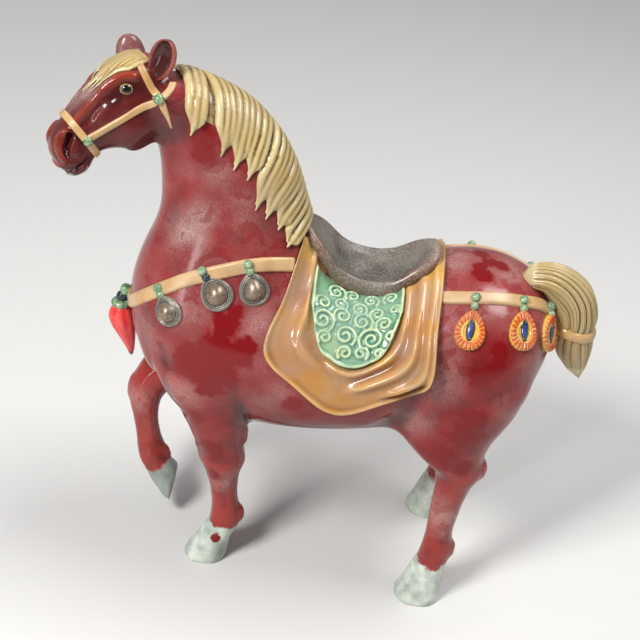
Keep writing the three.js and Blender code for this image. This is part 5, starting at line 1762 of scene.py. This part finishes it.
def make_ornaments(kind, side, found, ornaments, glaze):
    """Three bells or pendants on one side, each a copy of one mould."""
    mould, facts = bell_skin() if kind == "bell" else pendant_skin(side == NEAR)
    facts["hollow"] = hollow_of(*mould, 5, 0.12)
    mesh = mesh_of(kind, *mould)
    for name, numbers in facts.items():
        mesh.attributes.new(name, "FLOAT", "POINT").data.foreach_set("value", np.asarray(numbers, float))
    template = bpy.data.objects.new(kind, mesh)
    verts = [point for point, *_ in found]
    ways = {"out": [f[1] for f in found], "up": [f[2] for f in found], "size": [f[3] for f in found]}
    name = ("near_" if side == NEAR else "far_") + kind + "s"
    mesh = grown(name, ornaments, verts, [], ways, {"Ornament": template}, glaze)
    kept = {}
    for key in facts:
        numbers = np.empty(len(mesh.vertices))
        mesh.attributes[key].data.foreach_get("value", numbers)
        kept[key] = numbers
    piece(name, mesh, glaze, facts=kept)
    bpy.data.objects.remove(template)


build()

# Camera at the photograph's viewing angle. Its place is in metres, its angles in degrees.
CAMERA_PLACE = Vector((-0.0001, -0.7478, 0.65))
CAMERA_PITCH, CAMERA_ROLL = math.radians(33.12), math.radians(7.5)
LENS, SENSOR = 85.7, 36


def set_camera():
    ahead = Vector((0, math.cos(CAMERA_PITCH), -math.sin(CAMERA_PITCH)))
    level, above = Vector((1, 0, 0)), Vector((0, math.sin(CAMERA_PITCH), math.cos(CAMERA_PITCH)))
    right = level * math.cos(CAMERA_ROLL) + above * math.sin(CAMERA_ROLL)
    up = above * math.cos(CAMERA_ROLL) - level * math.sin(CAMERA_ROLL)
    turn = Matrix((right, up, -ahead)).transposed().to_4x4()
    lens = bpy.data.cameras.new("camera")
    lens.lens, lens.sensor_width = LENS, SENSOR
    camera = bpy.data.objects.new("camera", lens)
    camera.matrix_world = Matrix.Translation(CAMERA_PLACE) @ turn
    bpy.context.collection.objects.link(camera)
    bpy.context.scene.camera = camera


def softbox(name, place, target, size, power, colour="#ffffff"):
    """A large rectangular lamp that looks at a target."""
    lamp = bpy.data.lights.new(name, "AREA")
    lamp.shape = "RECTANGLE"
    lamp.size, lamp.size_y = size
    lamp.energy = power
    lamp.color = paint(colour)[:3]
    holder = bpy.data.objects.new(name, lamp)
    holder.location = place
    holder.rotation_euler = (Vector(target) - Vector(place)).to_track_quat("-Z", "Y").to_euler()
    bpy.context.collection.objects.link(holder)


def set_stage():
    half = 12
    corners = [(-half, -half, 0), (half, -half, 0), (half, half, 0), (-half, half, 0)]
    mesh = bpy.data.meshes.new("floor")
    mesh.from_pydata(corners, [], [(0, 1, 2, 3)])
    paper = bpy.data.materials.new("pale_paper")
    paper.use_nodes = True
    shader = paper.node_tree.nodes["Principled BSDF"]
    shader.inputs["Base Color"].default_value = paint("#dcdbd8")
    shader.inputs["Roughness"].default_value = 0.9
    mesh.materials.append(paper)
    floor = bpy.data.objects.new("floor", mesh)
    bpy.context.collection.objects.link(floor)
    world = bpy.data.worlds.new("studio")
    world.use_nodes = True
    world.node_tree.nodes["Background"].inputs["Color"].default_value = paint("#f3f4f6")
    world.node_tree.nodes["Background"].inputs["Strength"].default_value = 0.27
    bpy.context.scene.world = world
    softbox("key", (-0.6, -0.75, 1.15), (0, 0, 0.17), (0.35, 0.35), 17)
    softbox("top", (0.5, 0.1, 1.2), (0, 0, 0.17), (0.7, 0.4), 9.5)
    softbox("strip", (-0.8, -0.95, 0.45), (0, 0, 0.17), (0.12, 0.7), 3.2)


set_camera()
set_stage()
bpy.context.scene.view_settings.view_transform = "Standard"
